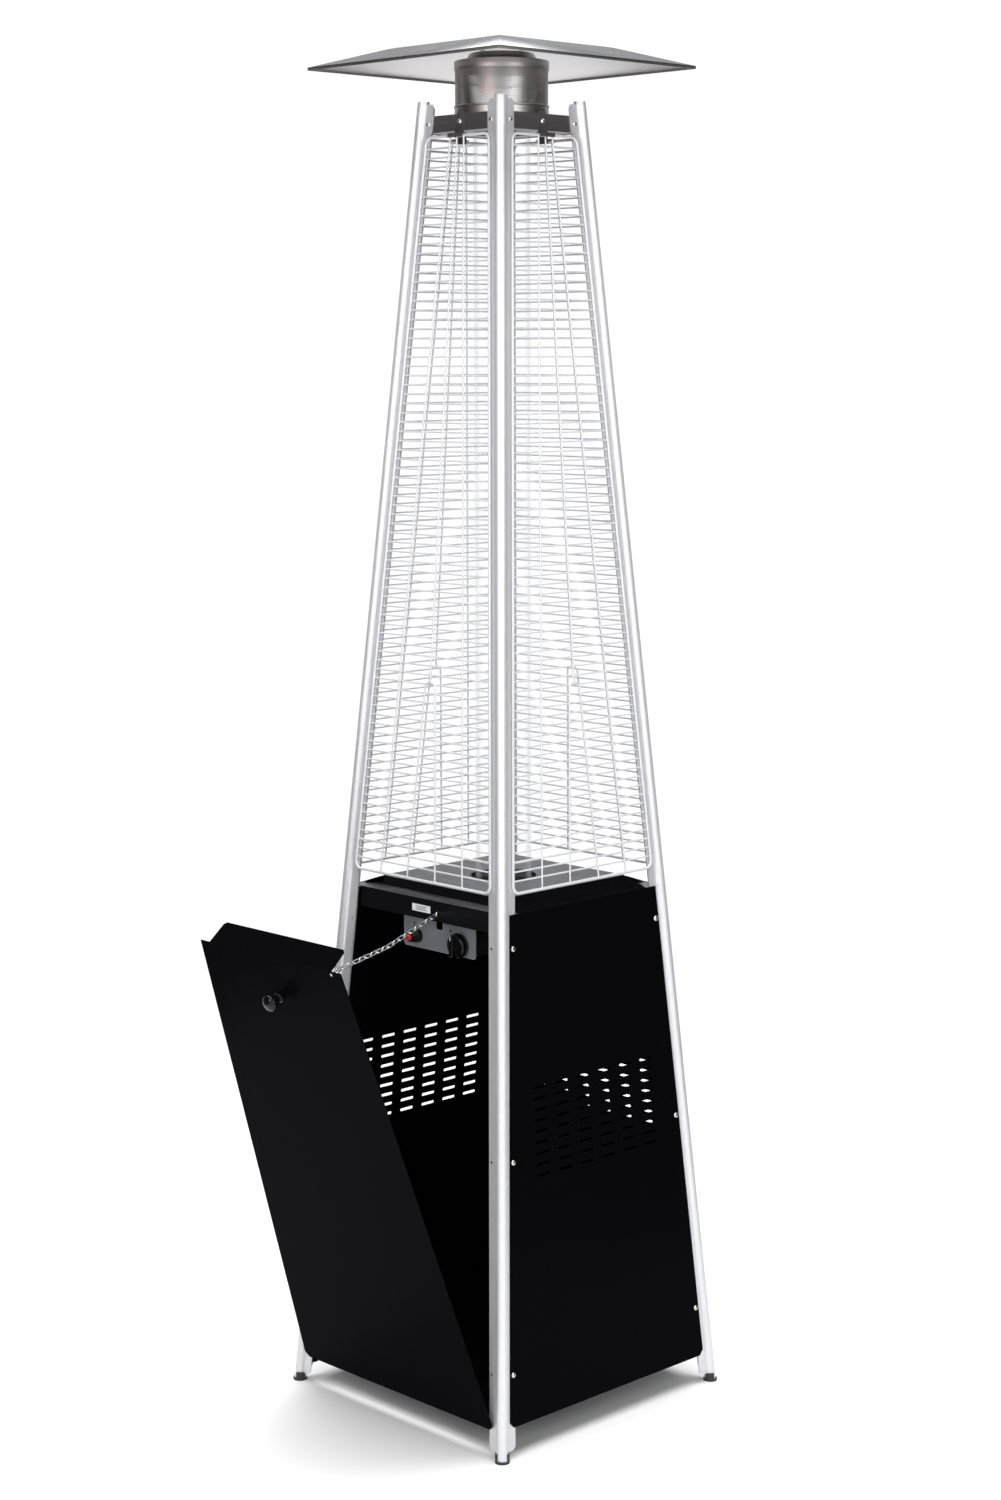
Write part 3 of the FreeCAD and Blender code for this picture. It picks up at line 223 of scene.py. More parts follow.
class Finish:
    """A material or world under construction, with one method for every kind of node."""

    def __init__(self, name, kind="materials", output="ShaderNodeOutputMaterial"):
        self.made = getattr(bpy.data, kind).new(name)
        self.made.use_nodes = True
        self.tree = self.made.node_tree
        self.tree.nodes.clear()
        self.out = self.tree.nodes.new(output)
        self.place = self.node("ShaderNodeTexCoord", {}, {}, "Object")

    def node(self, kind, settings, inputs, output=0):
        """Any node: its type, its settings, the values or links of its sockets, its output."""
        made = self.tree.nodes.new(kind)
        for name, value in settings.items():
            setattr(made, name, value)
        for key, value in inputs.items():
            if isinstance(value, Signal):
                self.tree.links.new(value.socket, made.inputs[key])
            else:
                made.inputs[key].default_value = value
        return Signal(self, made.outputs[output])

    def stretched(self, x, y, z):
        """Object coordinates scaled along each axis."""
        return self.node(
            "ShaderNodeMapping", {}, {"Vector": self.place, "Scale": (x, y, z)})

    def noise(self, vector, scale, detail=4.0, rough=0.55):
        return self.node(
            "ShaderNodeTexNoise", {},
            {"Vector": vector, "Scale": scale, "Detail": detail, "Roughness": rough})

    def ramp(self, value, low, high, start=0.0, end=1.0):
        """Value mapped from low..high to start..end, and held at the ends."""
        return self.node(
            "ShaderNodeMapRange", {"clamp": True},
            {"Value": value, "From Min": low, "From Max": high, "To Min": start, "To Max": end})

    def height(self):
        """Height above the floor."""
        return self.node("ShaderNodeSeparateXYZ", {}, {"Vector": self.place}, "Z")

    def mix(self, share, first, second):
        """A blend of two colours."""
        return self.node(
            "ShaderNodeMix", {"data_type": "RGBA"},
            {0: share, 6: opaque(first), 7: opaque(second)}, 2)

    def bump(self, height, strength, distance):
        """A surface relief, for the Normal socket."""
        return self.node(
            "ShaderNodeBump", {},
            {"Height": height, "Strength": strength, "Distance": distance}, "Normal")

    def surface(self, **sockets):
        """The Principled shader, its sockets named in short."""
        names = {
            "color": "Base Color", "rough": "Roughness", "metal": "Metallic", "normal": "Normal",
            "coat": "Coat Weight", "coat_rough": "Coat Roughness", "ior": "IOR",
            "specular": "Specular IOR Level", "anisotropic": "Anisotropic",
        }
        inputs = {names[name]: value for name, value in sockets.items()}
        inputs["Base Color"] = opaque(inputs["Base Color"])
        return self.node("ShaderNodeBsdfPrincipled", {}, inputs)

    def done(self, shader):
        """Joins the shader to the output and hands over what was made."""
        self.tree.links.new(shader.socket, self.out.inputs["Surface"])
        return self.made


def opaque(colour):
    """A plain colour with its alpha; a linked one as it is."""
    return colour if isinstance(colour, Signal) else (*colour, 1.0)


def tinted(colour, factor):
    """A colour made darker or lighter."""
    return tuple(min(1.0, part * factor) for part in colour)


def leg_aluminium():
    """Anodised extrusion: fine draw lines along the leg and a faint cloudiness."""
    make = Finish("leg_aluminium")
    lines = make.noise(make.stretched(900, 900, 4), 1.0, 3.0)
    cloud = make.noise(make.place, 7.0)
    grime = make.ramp(make.noise(make.place, 31.0), 0.55, 0.8)
    base = colours().aluminium
    tone = make.mix(make.ramp(lines, 0.3, 0.7), tinted(base, 0.93), tinted(base, 1.04))
    tone = make.mix(grime * 0.18, tone, (0.62, 0.62, 0.63))
    return make.done(make.surface(
        color=tone, metal=0.6, rough=0.42 + 0.10 * lines + 0.06 * cloud,
        normal=make.bump(lines, 0.08, 0.0002)))


def black_panel():
    """Smooth black coating with a slight orange peel and dust in patches."""
    make = Finish("black_panel")
    peel = make.noise(make.place, 420.0, 2.0)
    cloud = make.noise(make.place, 5.0)
    dust = make.ramp(make.noise(make.place, 900.0, 6.0), 0.60, 0.78)
    base = colours().panel
    tone = make.mix(dust * 0.05, base, (0.08, 0.08, 0.09))
    return make.done(make.surface(
        color=tone, rough=0.17 + 0.10 * cloud + 0.12 * dust, specular=0.10, ior=1.10,
        normal=make.bump(peel, 0.05, 0.0002)))


def deck_steel():
    """Galvanised sheet that has been brushed: grey, streaked and a little blotchy."""
    make = Finish("deck_steel")
    streak = make.noise(make.stretched(14, 700, 14), 1.0, 4.0)
    blotch = make.noise(make.place, 38.0, 6.0)
    tone = make.mix(make.ramp(streak, 0.3, 0.7), (0.15, 0.15, 0.165), (0.25, 0.25, 0.27))
    tone = make.mix(make.ramp(blotch, 0.5, 0.75) * 0.5, tone, (0.14, 0.135, 0.135))
    height = make.height()
    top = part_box("burner_deck")[1].z
    plate = make.ramp(height, top - 0.8 * MM, top - 0.3 * MM)
    tone = make.mix(plate, (0.004, 0.004, 0.005), tone)
    return make.done(make.surface(
        color=tone, metal=0.85 * plate, rough=0.30 + 0.16 * blotch, specular=0.2,
        normal=make.bump(streak, 0.1, 0.0002)))


def beam_paint():
    """The beam's satin black coat, with a painted grey sheen on its top face, in patches."""
    make = Finish("beam_paint")
    grain = make.noise(make.place, 650.0, 3.0)
    height = make.height()
    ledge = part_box("front_beam")[1].z
    # painted highlight: the top face is coloured grey and partly metallic, varying in patches
    top = make.ramp(height, ledge - 0.6 * MM, ledge - 0.2 * MM)
    sheen_patches = make.ramp(make.noise(make.stretched(9, 120, 9), 1.0, 5.0), 0.30, 0.62)
    tone = make.mix(top * (0.35 + 0.65 * sheen_patches), (0.004, 0.004, 0.005), (0.24, 0.24, 0.26))
    return make.done(make.surface(
        color=tone, metal=top * 0.7, rough=0.30 + 0.12 * grain, specular=0.15,
        normal=make.bump(grain, 0.06, 0.0002)))


def brushed(name, base, direction, rough, tint=None, depth=1.0, dark_inside=False):
    """Brushed stainless sheet. Direction gives the scale along each axis: low along the lines."""
    make = Finish(name)
    lines = make.noise(make.stretched(*direction), 1.0, 5.0)
    cloud = make.noise(make.place, 16.0, 3.0)
    shade = make.ramp(lines, 0.3, 0.7)
    tone = make.mix(shade, tinted(base, 1.0 - 0.14 * depth), tinted(base, 1.0 + 0.10 * depth))
    if tint:
        tone = make.mix(make.ramp(cloud, 0.42, 0.72) * 0.75, tone, tint)
    if dark_inside:
        # the inner side of the perforated ring is coloured near-black
        tone = make.mix(inside_screen(make), tone, (0.012, 0.011, 0.011))
    return make.done(make.surface(
        color=tone, metal=1.0, rough=rough + 0.16 * depth * lines + 0.05 * cloud,
        anisotropic=0.35, normal=make.bump(lines, 0.12 * depth, 0.0002)))


def reflector_sheet():
    """Bright polished sheet, with painted shade on its upper side: a darker grey where the faces look upwards."""
    make = Finish("reflector_steel")
    lines = make.noise(make.stretched(260, 6, 260), 1.0, 5.0)
    cloud = make.noise(make.place, 9.0, 3.0)
    facing = make.node("ShaderNodeNewGeometry", {}, {}, "Normal")
    tilt = make.node("ShaderNodeSeparateXYZ", {}, {"Vector": facing}, "Z")
    # painted shade: faces turned upwards are coloured darker grey than the underside, for the dull reflection they
    # show
    upper = make.ramp(tilt, 0.02, 0.12)
    under = tinted(colours().steel, 1.12)
    painted_shade_tone = make.mix(make.ramp(cloud, 0.35, 0.7), (0.17, 0.17, 0.185), (0.24, 0.24, 0.26))
    return make.done(make.surface(
        color=make.mix(upper, under, painted_shade_tone), metal=1.0,
        rough=0.30 + 0.03 * lines - 0.04 * upper,
        normal=make.bump(lines, 0.02, 0.0002)))


def inside_screen(make):
    """One on the inner side of the perforated ring, which is coloured near-black."""
    flat = make.node(
        "ShaderNodeVectorMath", {"operation": "MULTIPLY"}, {0: make.place, 1: (1, 1, 0)})
    reach = make.node("ShaderNodeVectorMath", {"operation": "LENGTH"}, {0: flat}, "Value")
    height = make.height()
    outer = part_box("perforated_screen")[1].x - SCREEN_INSET
    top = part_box("perforated_screen")[1].z
    inner = make.ramp(reach, outer - 0.45 * MM, outer - 0.1 * MM, 1.0, 0.0)
    return inner * make.ramp(height, top, top + MM, 1.0, 0.0)


def guard_wire():
    """Bright coated wire with a faint unevenness from dipping."""
    make = Finish("guard_wire")
    dip = make.noise(make.place, 120.0, 3.0)
    speck = make.ramp(make.noise(make.place, 900.0, 3.0), 0.62, 0.8)
    base = colours().wire
    tone = make.mix(make.ramp(dip, 0.3, 0.7), tinted(base, 0.95), tinted(base, 1.03))
    tone = make.mix(speck * 0.15, tone, (0.55, 0.55, 0.56))
    return make.done(make.surface(
        color=tone, metal=0.15, rough=0.30 + 0.14 * dip, coat=0.3, coat_rough=0.2,
        normal=make.bump(dip, 0.10, 0.0002)))


def plated(name, base, rough):
    """Zinc or nickel plate, cast or turned, with small pits."""
    make = Finish(name)
    cloud = make.noise(make.place, 240.0, 4.0)
    pit = make.ramp(make.noise(make.place, 1500.0, 2.0), 0.60, 0.75)
    tone = make.mix(make.ramp(cloud, 0.35, 0.7), tinted(base, 0.82), tinted(base, 1.06))
    tone = make.mix(pit * 0.3, tone, tinted(base, 0.45))
    return make.done(make.surface(
        color=tone, metal=1.0, rough=rough + 0.14 * cloud, normal=make.bump(pit, 0.12, 0.0001)))


def moulded(name, base, rough, grain, depth, specular=0.5):
    """Moulded plastic or rubber: a fine grain and slightly uneven gloss."""
    make = Finish(name)
    skin = make.noise(make.place, grain, 3.0)
    flow = make.noise(make.place, 60.0, 3.0)
    tone = make.mix(make.ramp(flow, 0.35, 0.7), tinted(base, 0.85), tinted(base, 1.2))
    return make.done(make.surface(
        color=tone, rough=rough + 0.12 * flow, specular=specular,
        normal=make.bump(skin, depth, 0.0001)))


def control_grey():
    """Satin lacquer on the control plate."""
    make = Finish("control_grey")
    grain = make.noise(make.place, 1600.0, 2.0)
    cloud = make.noise(make.place, 25.0)
    tone = make.mix(make.ramp(grain, 0.3, 0.7), (0.30, 0.31, 0.345), (0.355, 0.365, 0.40))
    return make.done(make.surface(
        color=tone, metal=0.35, rough=0.34 + 0.1 * cloud, normal=make.bump(grain, 0.06, 0.0001)))


def printed(name, base):
    """Screen-printed ink, slightly broken up."""
    make = Finish(name)
    grain = make.noise(make.place, 2600.0, 2.0)
    tone = make.mix(make.ramp(grain, 0.3, 0.75), base, tinted(base, 1.35))
    return make.done(make.surface(color=tone, rough=0.48 + 0.1 * grain))


def heated_iron():
    """Burner castings and bowl: dark, with rusty and blued patches from the heat."""
    make = Finish("heated_iron")
    grain = make.noise(make.place, 380.0, 5.0)
    patch = make.noise(make.place, 42.0, 4.0)
    tone = make.mix(make.ramp(patch, 0.45, 0.65), (0.035, 0.034, 0.036), (0.085, 0.060, 0.048))
    tone = make.mix(make.ramp(grain, 0.5, 0.75) * 0.4, tone, (0.05, 0.055, 0.075))
    return make.done(make.surface(
        color=tone, metal=0.55, rough=0.45 + 0.2 * grain, normal=make.bump(grain, 0.2, 0.0004)))


def clear_glass():
    """Thin clear tube: mirror-like towards its edges, with a faint haze of dust."""
    make = Finish("clear_glass")
    edge = make.node("ShaderNodeLayerWeight", {}, {"Blend": 0.35}, "Facing")
    haze = make.noise(make.stretched(30, 30, 3), 1.0, 5.0)
    see = make.node("ShaderNodeBsdfTransparent", {}, {"Color": (0.99, 0.99, 0.993, 1.0)})
    shine = make.surface(
        color=(0.96, 0.98, 0.98), rough=0.06 + 0.05 * haze, metal=0.0, ior=1.47)
    share = make.ramp(edge, 0.30, 1.0, 0.01, 0.45) + 0.01 * haze
    return make.done(make.node("ShaderNodeMixShader", {}, {0: share, 1: see, 2: shine}))


def finishes():
    """Every finish, by the name of the record's material slot."""
    steel = colours().steel
    ring = (700, 700, 9)
    return {
        "leg_aluminium": leg_aluminium(),
        "black_panel": black_panel(),
        "deck_steel": deck_steel(),
        "reflector_steel": reflector_sheet(),
        "head_steel": brushed(
            "head_steel", tinted(steel, 0.50), (14, 14, 800), 0.26, (0.36, 0.28, 0.26), dark_inside=True),
        "strap_steel": brushed("strap_steel", (0.30, 0.285, 0.29), (12, 12, 900), 0.28),
        "clip_black": moulded("clip_black", (0.060, 0.052, 0.055), 0.30, 900.0, 0.08),
        "wire": guard_wire(),
        "screw_steel": plated("screw_steel", (0.66, 0.65, 0.64), 0.16),
        "chain_steel": plated("chain_steel", (0.74, 0.74, 0.75), 0.12),
        "bracket_zinc": plated("bracket_zinc", (0.46, 0.46, 0.47), 0.30),
        "brass": brushed("brass", (0.58, 0.41, 0.16), ring, 0.22),
        "glass": clear_glass(),
        "foot_plastic": moulded("foot_plastic", (0.010, 0.010, 0.011), 0.42, 700.0, 0.12),
        "knob_plastic": moulded("knob_plastic", (0.004, 0.004, 0.0045), 0.10, 300.0, 0.03, 0.25),
        "button_plastic": moulded("button_plastic", colours().button, 0.16, 300.0, 0.03),
        "control_grey": control_grey(),
        "label_white": printed("label_white", (0.72, 0.74, 0.70)),
        "gasket": moulded("gasket", (0.035, 0.034, 0.033), 0.7, 500.0, 0.5),
        "dark_iron": heated_iron(),
    }


FINISH = {}


# ---------------------------------------------------------------- modelling by hand
def nothing_selected():
    if bpy.context.object and bpy.context.object.mode != "OBJECT":
        bpy.ops.object.mode_set(mode="OBJECT")
    bpy.ops.object.select_all(action="DESELECT")


def only(piece):
    """Selects one piece and makes it the active one."""
    nothing_selected()
    piece.select_set(True)
    bpy.context.view_layer.objects.active = piece
    return piece


def editing(mode="VERT"):
    bpy.ops.object.mode_set(mode="EDIT")
    bpy.ops.mesh.select_mode(type=mode)


def finished_editing():
    bpy.ops.object.mode_set(mode="OBJECT")


def pick(piece, test, kind="vertices"):
    """Selects the vertices, edges or faces of a piece that pass a test."""
    finished_editing()
    mesh = piece.data
    for group in (mesh.vertices, mesh.edges, mesh.polygons):
        group.foreach_set("select", [False] * len(group))
    for item in getattr(mesh, kind):
        item.select = bool(test(item))
    modes = {"vertices": "VERT", "edges": "EDGE", "polygons": "FACE"}
    editing(modes[kind])


def modified(piece, kind, **settings):
    """Adds a modifier and applies it."""
    only(piece)
    made = piece.modifiers.new(kind.title(), kind)
    for name, value in settings.items():
        setattr(made, name, value)
    bpy.ops.object.modifier_apply(modifier=made.name)
    return piece


def settled(piece):
    """Moves the piece's place into its mesh, so that its object sits at the origin."""
    only(piece)
    bpy.ops.object.transform_apply(location=True, rotation=True, scale=True)
    return piece


def placed(piece, matrix):
    piece.matrix_world = matrix
    return settled(piece)


def smooth(piece, angle=math.radians(32)):
    only(piece)
    bpy.ops.object.shade_smooth_by_angle(angle=angle)
    return piece


def tidy_mesh(piece):
    """Merges doubled points and turns every face outwards."""
    only(piece)
    editing()
    bpy.ops.mesh.select_all(action="SELECT")
    bpy.ops.mesh.remove_doubles(threshold=0.00001)
    bpy.ops.mesh.normals_make_consistent(inside=False)
    finished_editing()
    return piece


def copied(piece, name):
    """A copy with its own mesh."""
    only(piece)
    bpy.ops.object.duplicate(linked=False)
    twin = bpy.context.object
    twin.name = name
    twin.data.name = name
    return twin


def joined(pieces, name):
    nothing_selected()
    for piece in pieces:
        piece.select_set(True)
    bpy.context.view_layer.objects.active = pieces[0]
    bpy.ops.object.join()
    whole = bpy.context.object
    whole.name = name
    whole.data.name = name
    return whole


def dressed(piece, slot, body, *nodes):
    """Gives a piece its finish and its body, and hides the designed parts it stands for."""
    piece.data.materials.clear()
    piece.data.materials.append(FINISH[slot])
    if nodes:
        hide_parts(*nodes)
    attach(piece, body)
    return piece


def pointing(origin, axis):
    """A matrix that carries the Z axis to an axis through a point."""
    turn = UP.rotation_difference(Vector(axis)).to_matrix().to_4x4()
    return Matrix.Translation(origin) @ turn


def quarter_turn(piece, turns):
    return placed(piece, Matrix.Rotation(math.radians(90 * turns), 4, "Z"))


def turned(name, profile, steps=40):
    """A round piece: an outline of (radius, height) points in millimetres, spun about Z."""
    mesh = bpy.data.meshes.new(name)
    points = [(radius * MM, 0, height * MM) for radius, height in profile]
    mesh.from_pydata(points, [(n, n + 1) for n in range(len(points) - 1)], [])
    piece = bpy.data.objects.new(name, mesh)
    bpy.context.scene.collection.objects.link(piece)
    only(piece)
    editing()
    bpy.ops.mesh.select_all(action="SELECT")
    bpy.ops.mesh.spin(steps=steps, angle=2 * math.pi, center=(0, 0, 0), axis=(0, 0, 1))
    finished_editing()
    return tidy_mesh(piece)


def rounded_bar(name, width, length, height, bevel, segments=3):
    """A block from z 0 up, with softened edges, in millimetres."""
    nothing_selected()
    bpy.ops.mesh.primitive_cube_add(size=1, location=(0, 0, height * MM / 2))
    bar = bpy.context.object
    bar.name = name
    bar.scale = (width * MM, length * MM, height * MM)
    settled(bar)
    editing("EDGE")
    bpy.ops.mesh.select_all(action="SELECT")
    bpy.ops.mesh.bevel(offset=bevel * MM, segments=segments, affect="EDGES")
    finished_editing()
    return bar


# ---------------------------------------------------------------- wire guards
def slope_length(z):
    """Distance up the leaning face from the guard's lower edge to a height."""
    return (z - GUARD_LOW.z) / math.cos(SLOPE)


def guard_half(z):
    """Half the width of a guard at a height, to the outside of its frame wire."""
    return GUARD_HIGH.y - LEAN * (z - GUARD_LOW.z - GUARD_CHAMFER)


def straight_wire(start, end, radius, sides=10):
    """Adds a round wire between two points to the mesh that is being edited."""
    run = end - start
    turn = UP.rotation_difference(run).to_euler()
    bpy.ops.mesh.primitive_cylinder_add(
        vertices=sides, radius=radius, depth=run.length, location=(start + end) / 2, rotation=turn)


def frame_wire():
    """The outer wire: a ring swept round the guard's edge, with four bends."""
    size = sizes()
    radius = size.frame_wire / 2
    bend = size.frame_corner
    low = slope_length(GUARD_LOW.z) + radius
    high = slope_length(GUARD_HIGH.z) - radius
    low_half = guard_half(GUARD_LOW.z) - radius
    high_half = guard_half(GUARD_HIGH.z) - radius
    taper = math.atan((low_half - high_half) / (high - low))
    nothing_selected()
    bpy.ops.mesh.primitive_circle_add(
        vertices=12, radius=radius, location=(0, low, 0), rotation=(0, math.pi / 2, 0))
    piece = bpy.context.object
    editing()
    corners = (
        (Vector((low_half, low, 0)), math.pi / 2 + taper),
        (Vector((high_half, high, 0)), math.pi / 2 - taper),
        (Vector((-high_half, high, 0)), math.pi / 2 - taper),
        (Vector((-low_half, low, 0)), math.pi / 2 + taper),
    )
    here = Vector((0, low, 0))
    heading = Vector((1, 0, 0))
    for corner, turn in corners:
        cut = bend * math.tan(turn / 2)
        stop = corner - heading * cut
        extrude(stop - here)
        side = Vector((-heading.y, heading.x, 0))
        bpy.ops.mesh.spin(steps=7, angle=turn, center=stop + side * bend, axis=(0, 0, -1))
        heading = Matrix.Rotation(turn, 3, "Z") @ heading
        here = corner + heading * cut
    extrude(Vector((0, low, 0)) - here)
    finished_editing()
    return tidy_mesh(settled(piece))


def extrude(move):
    bpy.ops.mesh.extrude_edges_move(TRANSFORM_OT_translate={"value": move})


def fork_half(z):
    """Half the distance between the legs of the fork at a height."""
    share = (FORK_TOP - z) / (FORK_TOP - GUARD_LOW.z)
    return FORK_BOW + (FORK_FOOT - FORK_BOW) * share


def guard_mesh():
    """One guard, flat: X across, Y up the slope, Z outwards, its back face at z 0."""
    size = sizes()
    thin = size.cross_wire / 2
    middle = GUARD_DEPTH / 2
    outer = frame_wire()
    placed(outer, Matrix.Translation((0, 0, middle)))
    nothing_selected()
    bpy.ops.mesh.primitive_cylinder_add(vertices=8, radius=thin * 0.8, depth=MM)
    wires = bpy.context.object
    editing()
    bpy.ops.mesh.select_all(action="SELECT")
    bpy.ops.mesh.delete(type="VERT")
    back = thin + 0.1 * MM
    front = GUARD_DEPTH - thin - 0.1 * MM
    bottom = GUARD_LOW.z + size.frame_wire / 2
    top = GUARD_HIGH.z - size.frame_wire / 2
    z = top - FIRST_GAP
    row = 0
    while z > bottom + size.wire_pitch * 0.6:
        reach = guard_half(z) - size.frame_wire / 2
        level = slope_length(z)
        thick = thin * (STOUT if row in STOUT_ROWS else 1.0)
        straight_wire(Vector((-reach, level, back)), Vector((reach, level, back)), thick)
        z -= size.wire_pitch
        row += 1
    for low, high in ((UPRIGHT_LOW, UPRIGHT_HIGH), (-UPRIGHT_LOW, -UPRIGHT_HIGH)):
        start = Vector((low, slope_length(bottom), front))
        straight_wire(start, Vector((high, slope_length(top), front)), thin)
    fork_level = slope_length(FORK_TOP)
    crown = fork_level + FORK_BOW
    straight_wire(Vector((0, crown, front)), Vector((0, slope_length(top), front)), thin)
    for side in (1, -1):
        start = Vector((side * fork_half(GUARD_LOW.z), slope_length(bottom), front))
        end = Vector((side * FORK_BOW, fork_level, front))
        straight_wire(start, end, thin)
    finished_editing()
    nothing_selected()
    bpy.ops.mesh.primitive_circle_add(
        vertices=10, radius=thin, location=(FORK_BOW, fork_level, front),
        rotation=(math.pi / 2, 0, 0))
    bow = bpy.context.object
    editing()
    bpy.ops.mesh.spin(steps=12, angle=math.pi, center=(0, fork_level, front), axis=(0, 0, -1))
    finished_editing()
    tidy_mesh(bow)
    return smooth(joined([outer, wires, bow], "guard_right_wires"), math.radians(50))


class HEATER_OT_guards(bpy.types.Operator):
    """Four welded wire guards round the flame tube"""

    bl_idname = "heater.guards"
    bl_label = "Wire guards"

    def execute(self, context):
        first = guard_mesh()
        foot = Vector((spread(GUARD_LOW.z) + GUARD_PROUD - GUARD_DEPTH, 0, GUARD_LOW.z))
        up_slope = Vector((-LEAN, 0, 1)).normalized()
        across = up_slope.cross(FACE_NORMAL)
        turn = Matrix((across, up_slope, FACE_NORMAL)).transposed().to_4x4()
        placed(first, Matrix.Translation(foot) @ turn)
        for name, turns in QUARTERS:
            guard = first if turns == 0 else copied(first, "guard_" + name + "_wires")
            if turns:
                quarter_turn(guard, turns)
            dressed(guard, "wire", "frame", "guard_" + name)
        return {"FINISHED"}


# ---------------------------------------------------------------- head
def head_ring(name, profile):
    """A round sheet of the head, fine enough to look smooth from close by."""
    return smooth(turned(name, profile, 96))


class HEATER_OT_screen(bpy.types.Operator):
    """Perforated ring that lets the heat out under the reflector"""

    bl_idname = "heater.screen"
    bl_label = "Perforated screen"

    def execute(self, context):
        size = sizes()
        low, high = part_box("perforated_screen")
        radius = high.x - SCREEN_INSET
        across = round(2 * math.pi * radius / size.hole_pitch)
        pitch = 2 * math.pi * radius / across
        rows = math.ceil((high.z - low.z + 2 * SCREEN_TUCK) / (pitch / 2))
        nothing_selected()
        bpy.ops.mesh.primitive_circle_add(vertices=8, radius=size.hole_radius)
        piece = bpy.context.object
        editing()
        bpy.ops.mesh.extrude_edges_move(TRANSFORM_OT_translate={"value": (0, 0, 0)})
        half = pitch / 2
        finished_editing()
        edge = math.sqrt(0.5) * half
        for vertex in piece.data.vertices:
            if vertex.select:
                straight = abs(vertex.co.x) < 1e-6 or abs(vertex.co.y) < 1e-6
                vertex.co = vertex.co.normalized() * (half if straight else edge)
        modified(
            piece, "ARRAY", count=across, use_relative_offset=False, use_constant_offset=True,
            constant_offset_displace=(pitch, 0, 0))
        modified(
            piece, "ARRAY", count=rows, use_relative_offset=False, use_constant_offset=True,
            constant_offset_displace=(half, half, 0))
        middle = (low.z + high.z) / 2
        start = middle - (rows - 1) * half / 2
        for vertex in piece.data.vertices:
            angle = vertex.co.x / radius
            height = start + vertex.co.y
            vertex.co = (radius * math.cos(angle), radius * math.sin(angle), height)
        tidy_mesh(piece)
        modified(piece, "SOLIDIFY", thickness=SCREEN_SHEET, offset=-1.0)
        piece.name = "screen_mesh"
        dressed(smooth(piece), "head_steel", "frame", "perforated_screen")
        return {"FINISHED"}


class HEATER_OT_head(bpy.types.Operator):
    """Head band, cap with its rivets, and the shoulder under the reflector"""

    bl_idname = "heater.head"
    bl_label = "Head band and cap"

    def execute(self, context):
        low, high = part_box("head_band")
        base = low.z / MM
        top = high.z / MM
        outer = high.x / MM
        band = head_ring("head_band_sheet", [
            (outer - 2.0, base), (outer - 1.2, base), (outer - 1.2, top - 3.6),
            (outer - 0.6, top - 3.4), (outer - 0.1, top - 2.6), (outer, top - 1.6),
            (outer - 0.2, top - 0.6), (outer - 0.9, top), (outer - 1.6, top - 0.1),
            (outer - 2.0, top - 0.6), (outer - 2.0, base)])
        dressed(band, "head_steel", "frame", "head_band")
        low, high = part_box("head_cap")
        base = low.z / MM
        top = high.z / MM
        outer = high.x / MM
        rim = base + CAP_RIM
        cap = head_ring("head_cap_sheet", [
            (outer - 1.2, base), (outer - 0.2, base), (outer, base + 0.4), (outer, rim - 1.2),
            (outer - 0.4, rim - 0.3), (outer - 1.4, rim), (CAP_SHOULDER, rim + 0.3),
            (CAP_SHOULDER - 3, rim + 1.6), (CAP_SHOULDER - 8, rim + 6), (CAP_TOP + 3, top - 1.6),
            (CAP_TOP, top - 0.3), (CAP_TOP - 3, top), (CAP_HOLE, top), (CAP_HOLE, top - 1.0),
            (CAP_TOP - 3, top - 1.0), (CAP_SHOULDER - 9, rim + 5), (CAP_SHOULDER - 2, rim - 0.7),
            (outer - 1.6, rim - 1.0), (outer - 1.2, rim - 1.6), (outer - 1.2, base)])
        rivets = [cap]
        for n in range(RIVETS):
            angle = 2 * math.pi * (n + 0.5) / RIVETS
            out = Vector((math.cos(angle), math.sin(angle), 0))
            rivet = smooth(turned("rivet", RIVET_SHAPE, 12))
            centre = out * (outer - 0.55) * MM + UP * (base + CAP_RIM / 2) * MM
            rivets.append(placed(rivet, pointing(centre, out)))
        dressed(joined(rivets, "head_cap_sheet"), "head_steel", "frame", "head_cap")
        return {"FINISHED"}


class HEATER_OT_reflector(bpy.types.Operator):
    """Square dish: a flat middle, soft creases, four slopes and a folded hem"""

    bl_idname = "heater.reflector"
    bl_label = "Reflector"

    def execute(self, context):
        low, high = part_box("reflector")
        rim = high.x
        rim_z = low.z + HEM
        nothing_selected()
        bpy.ops.mesh.primitive_plane_add(size=2 * rim, location=(0, 0, rim_z))
        piece = settled(bpy.context.object)
        piece.name = "reflector_sheet"
        editing("FACE")
        bpy.ops.mesh.select_all(action="SELECT")
        bpy.ops.mesh.inset(thickness=rim - FLAT_HALF)
        bpy.ops.transform.translate(value=(0, 0, high.z - rim_z))
        pick(piece, lambda e: edge_is_level(piece, e, rim_z + MM), "edges")
        bpy.ops.mesh.bevel(offset=CREASE, segments=5, affect="EDGES", profile=0.5)
        pick(piece, lambda e: len(edge_faces(piece, e)) == 1, "edges")
        bpy.ops.mesh.extrude_edges_move(TRANSFORM_OT_translate={"value": (0, 0, -HEM)})
        finished_editing()
        tidy_mesh(piece)
        modified(piece, "SOLIDIFY", thickness=sizes().sheet, offset=-1.0)
        modified(piece, "BEVEL", width=0.3 * MM, segments=2, limit_method="ANGLE")
        dressed(smooth(piece, math.radians(40)), "reflector_steel", "frame", "reflector")
        return {"FINISHED"}


def edge_is_level(piece, edge, above):
    """True for the straight sides of the flat middle."""
    one, two = [piece.data.vertices[n].co for n in edge.vertices]
    return abs(one.z - two.z) < MM and (one.z + two.z) / 2 > above


def edge_faces(piece, edge):
    """The faces that use an edge."""
    key = set(edge.vertices)
    return [f for f in piece.data.polygons if key <= set(f.vertices)]


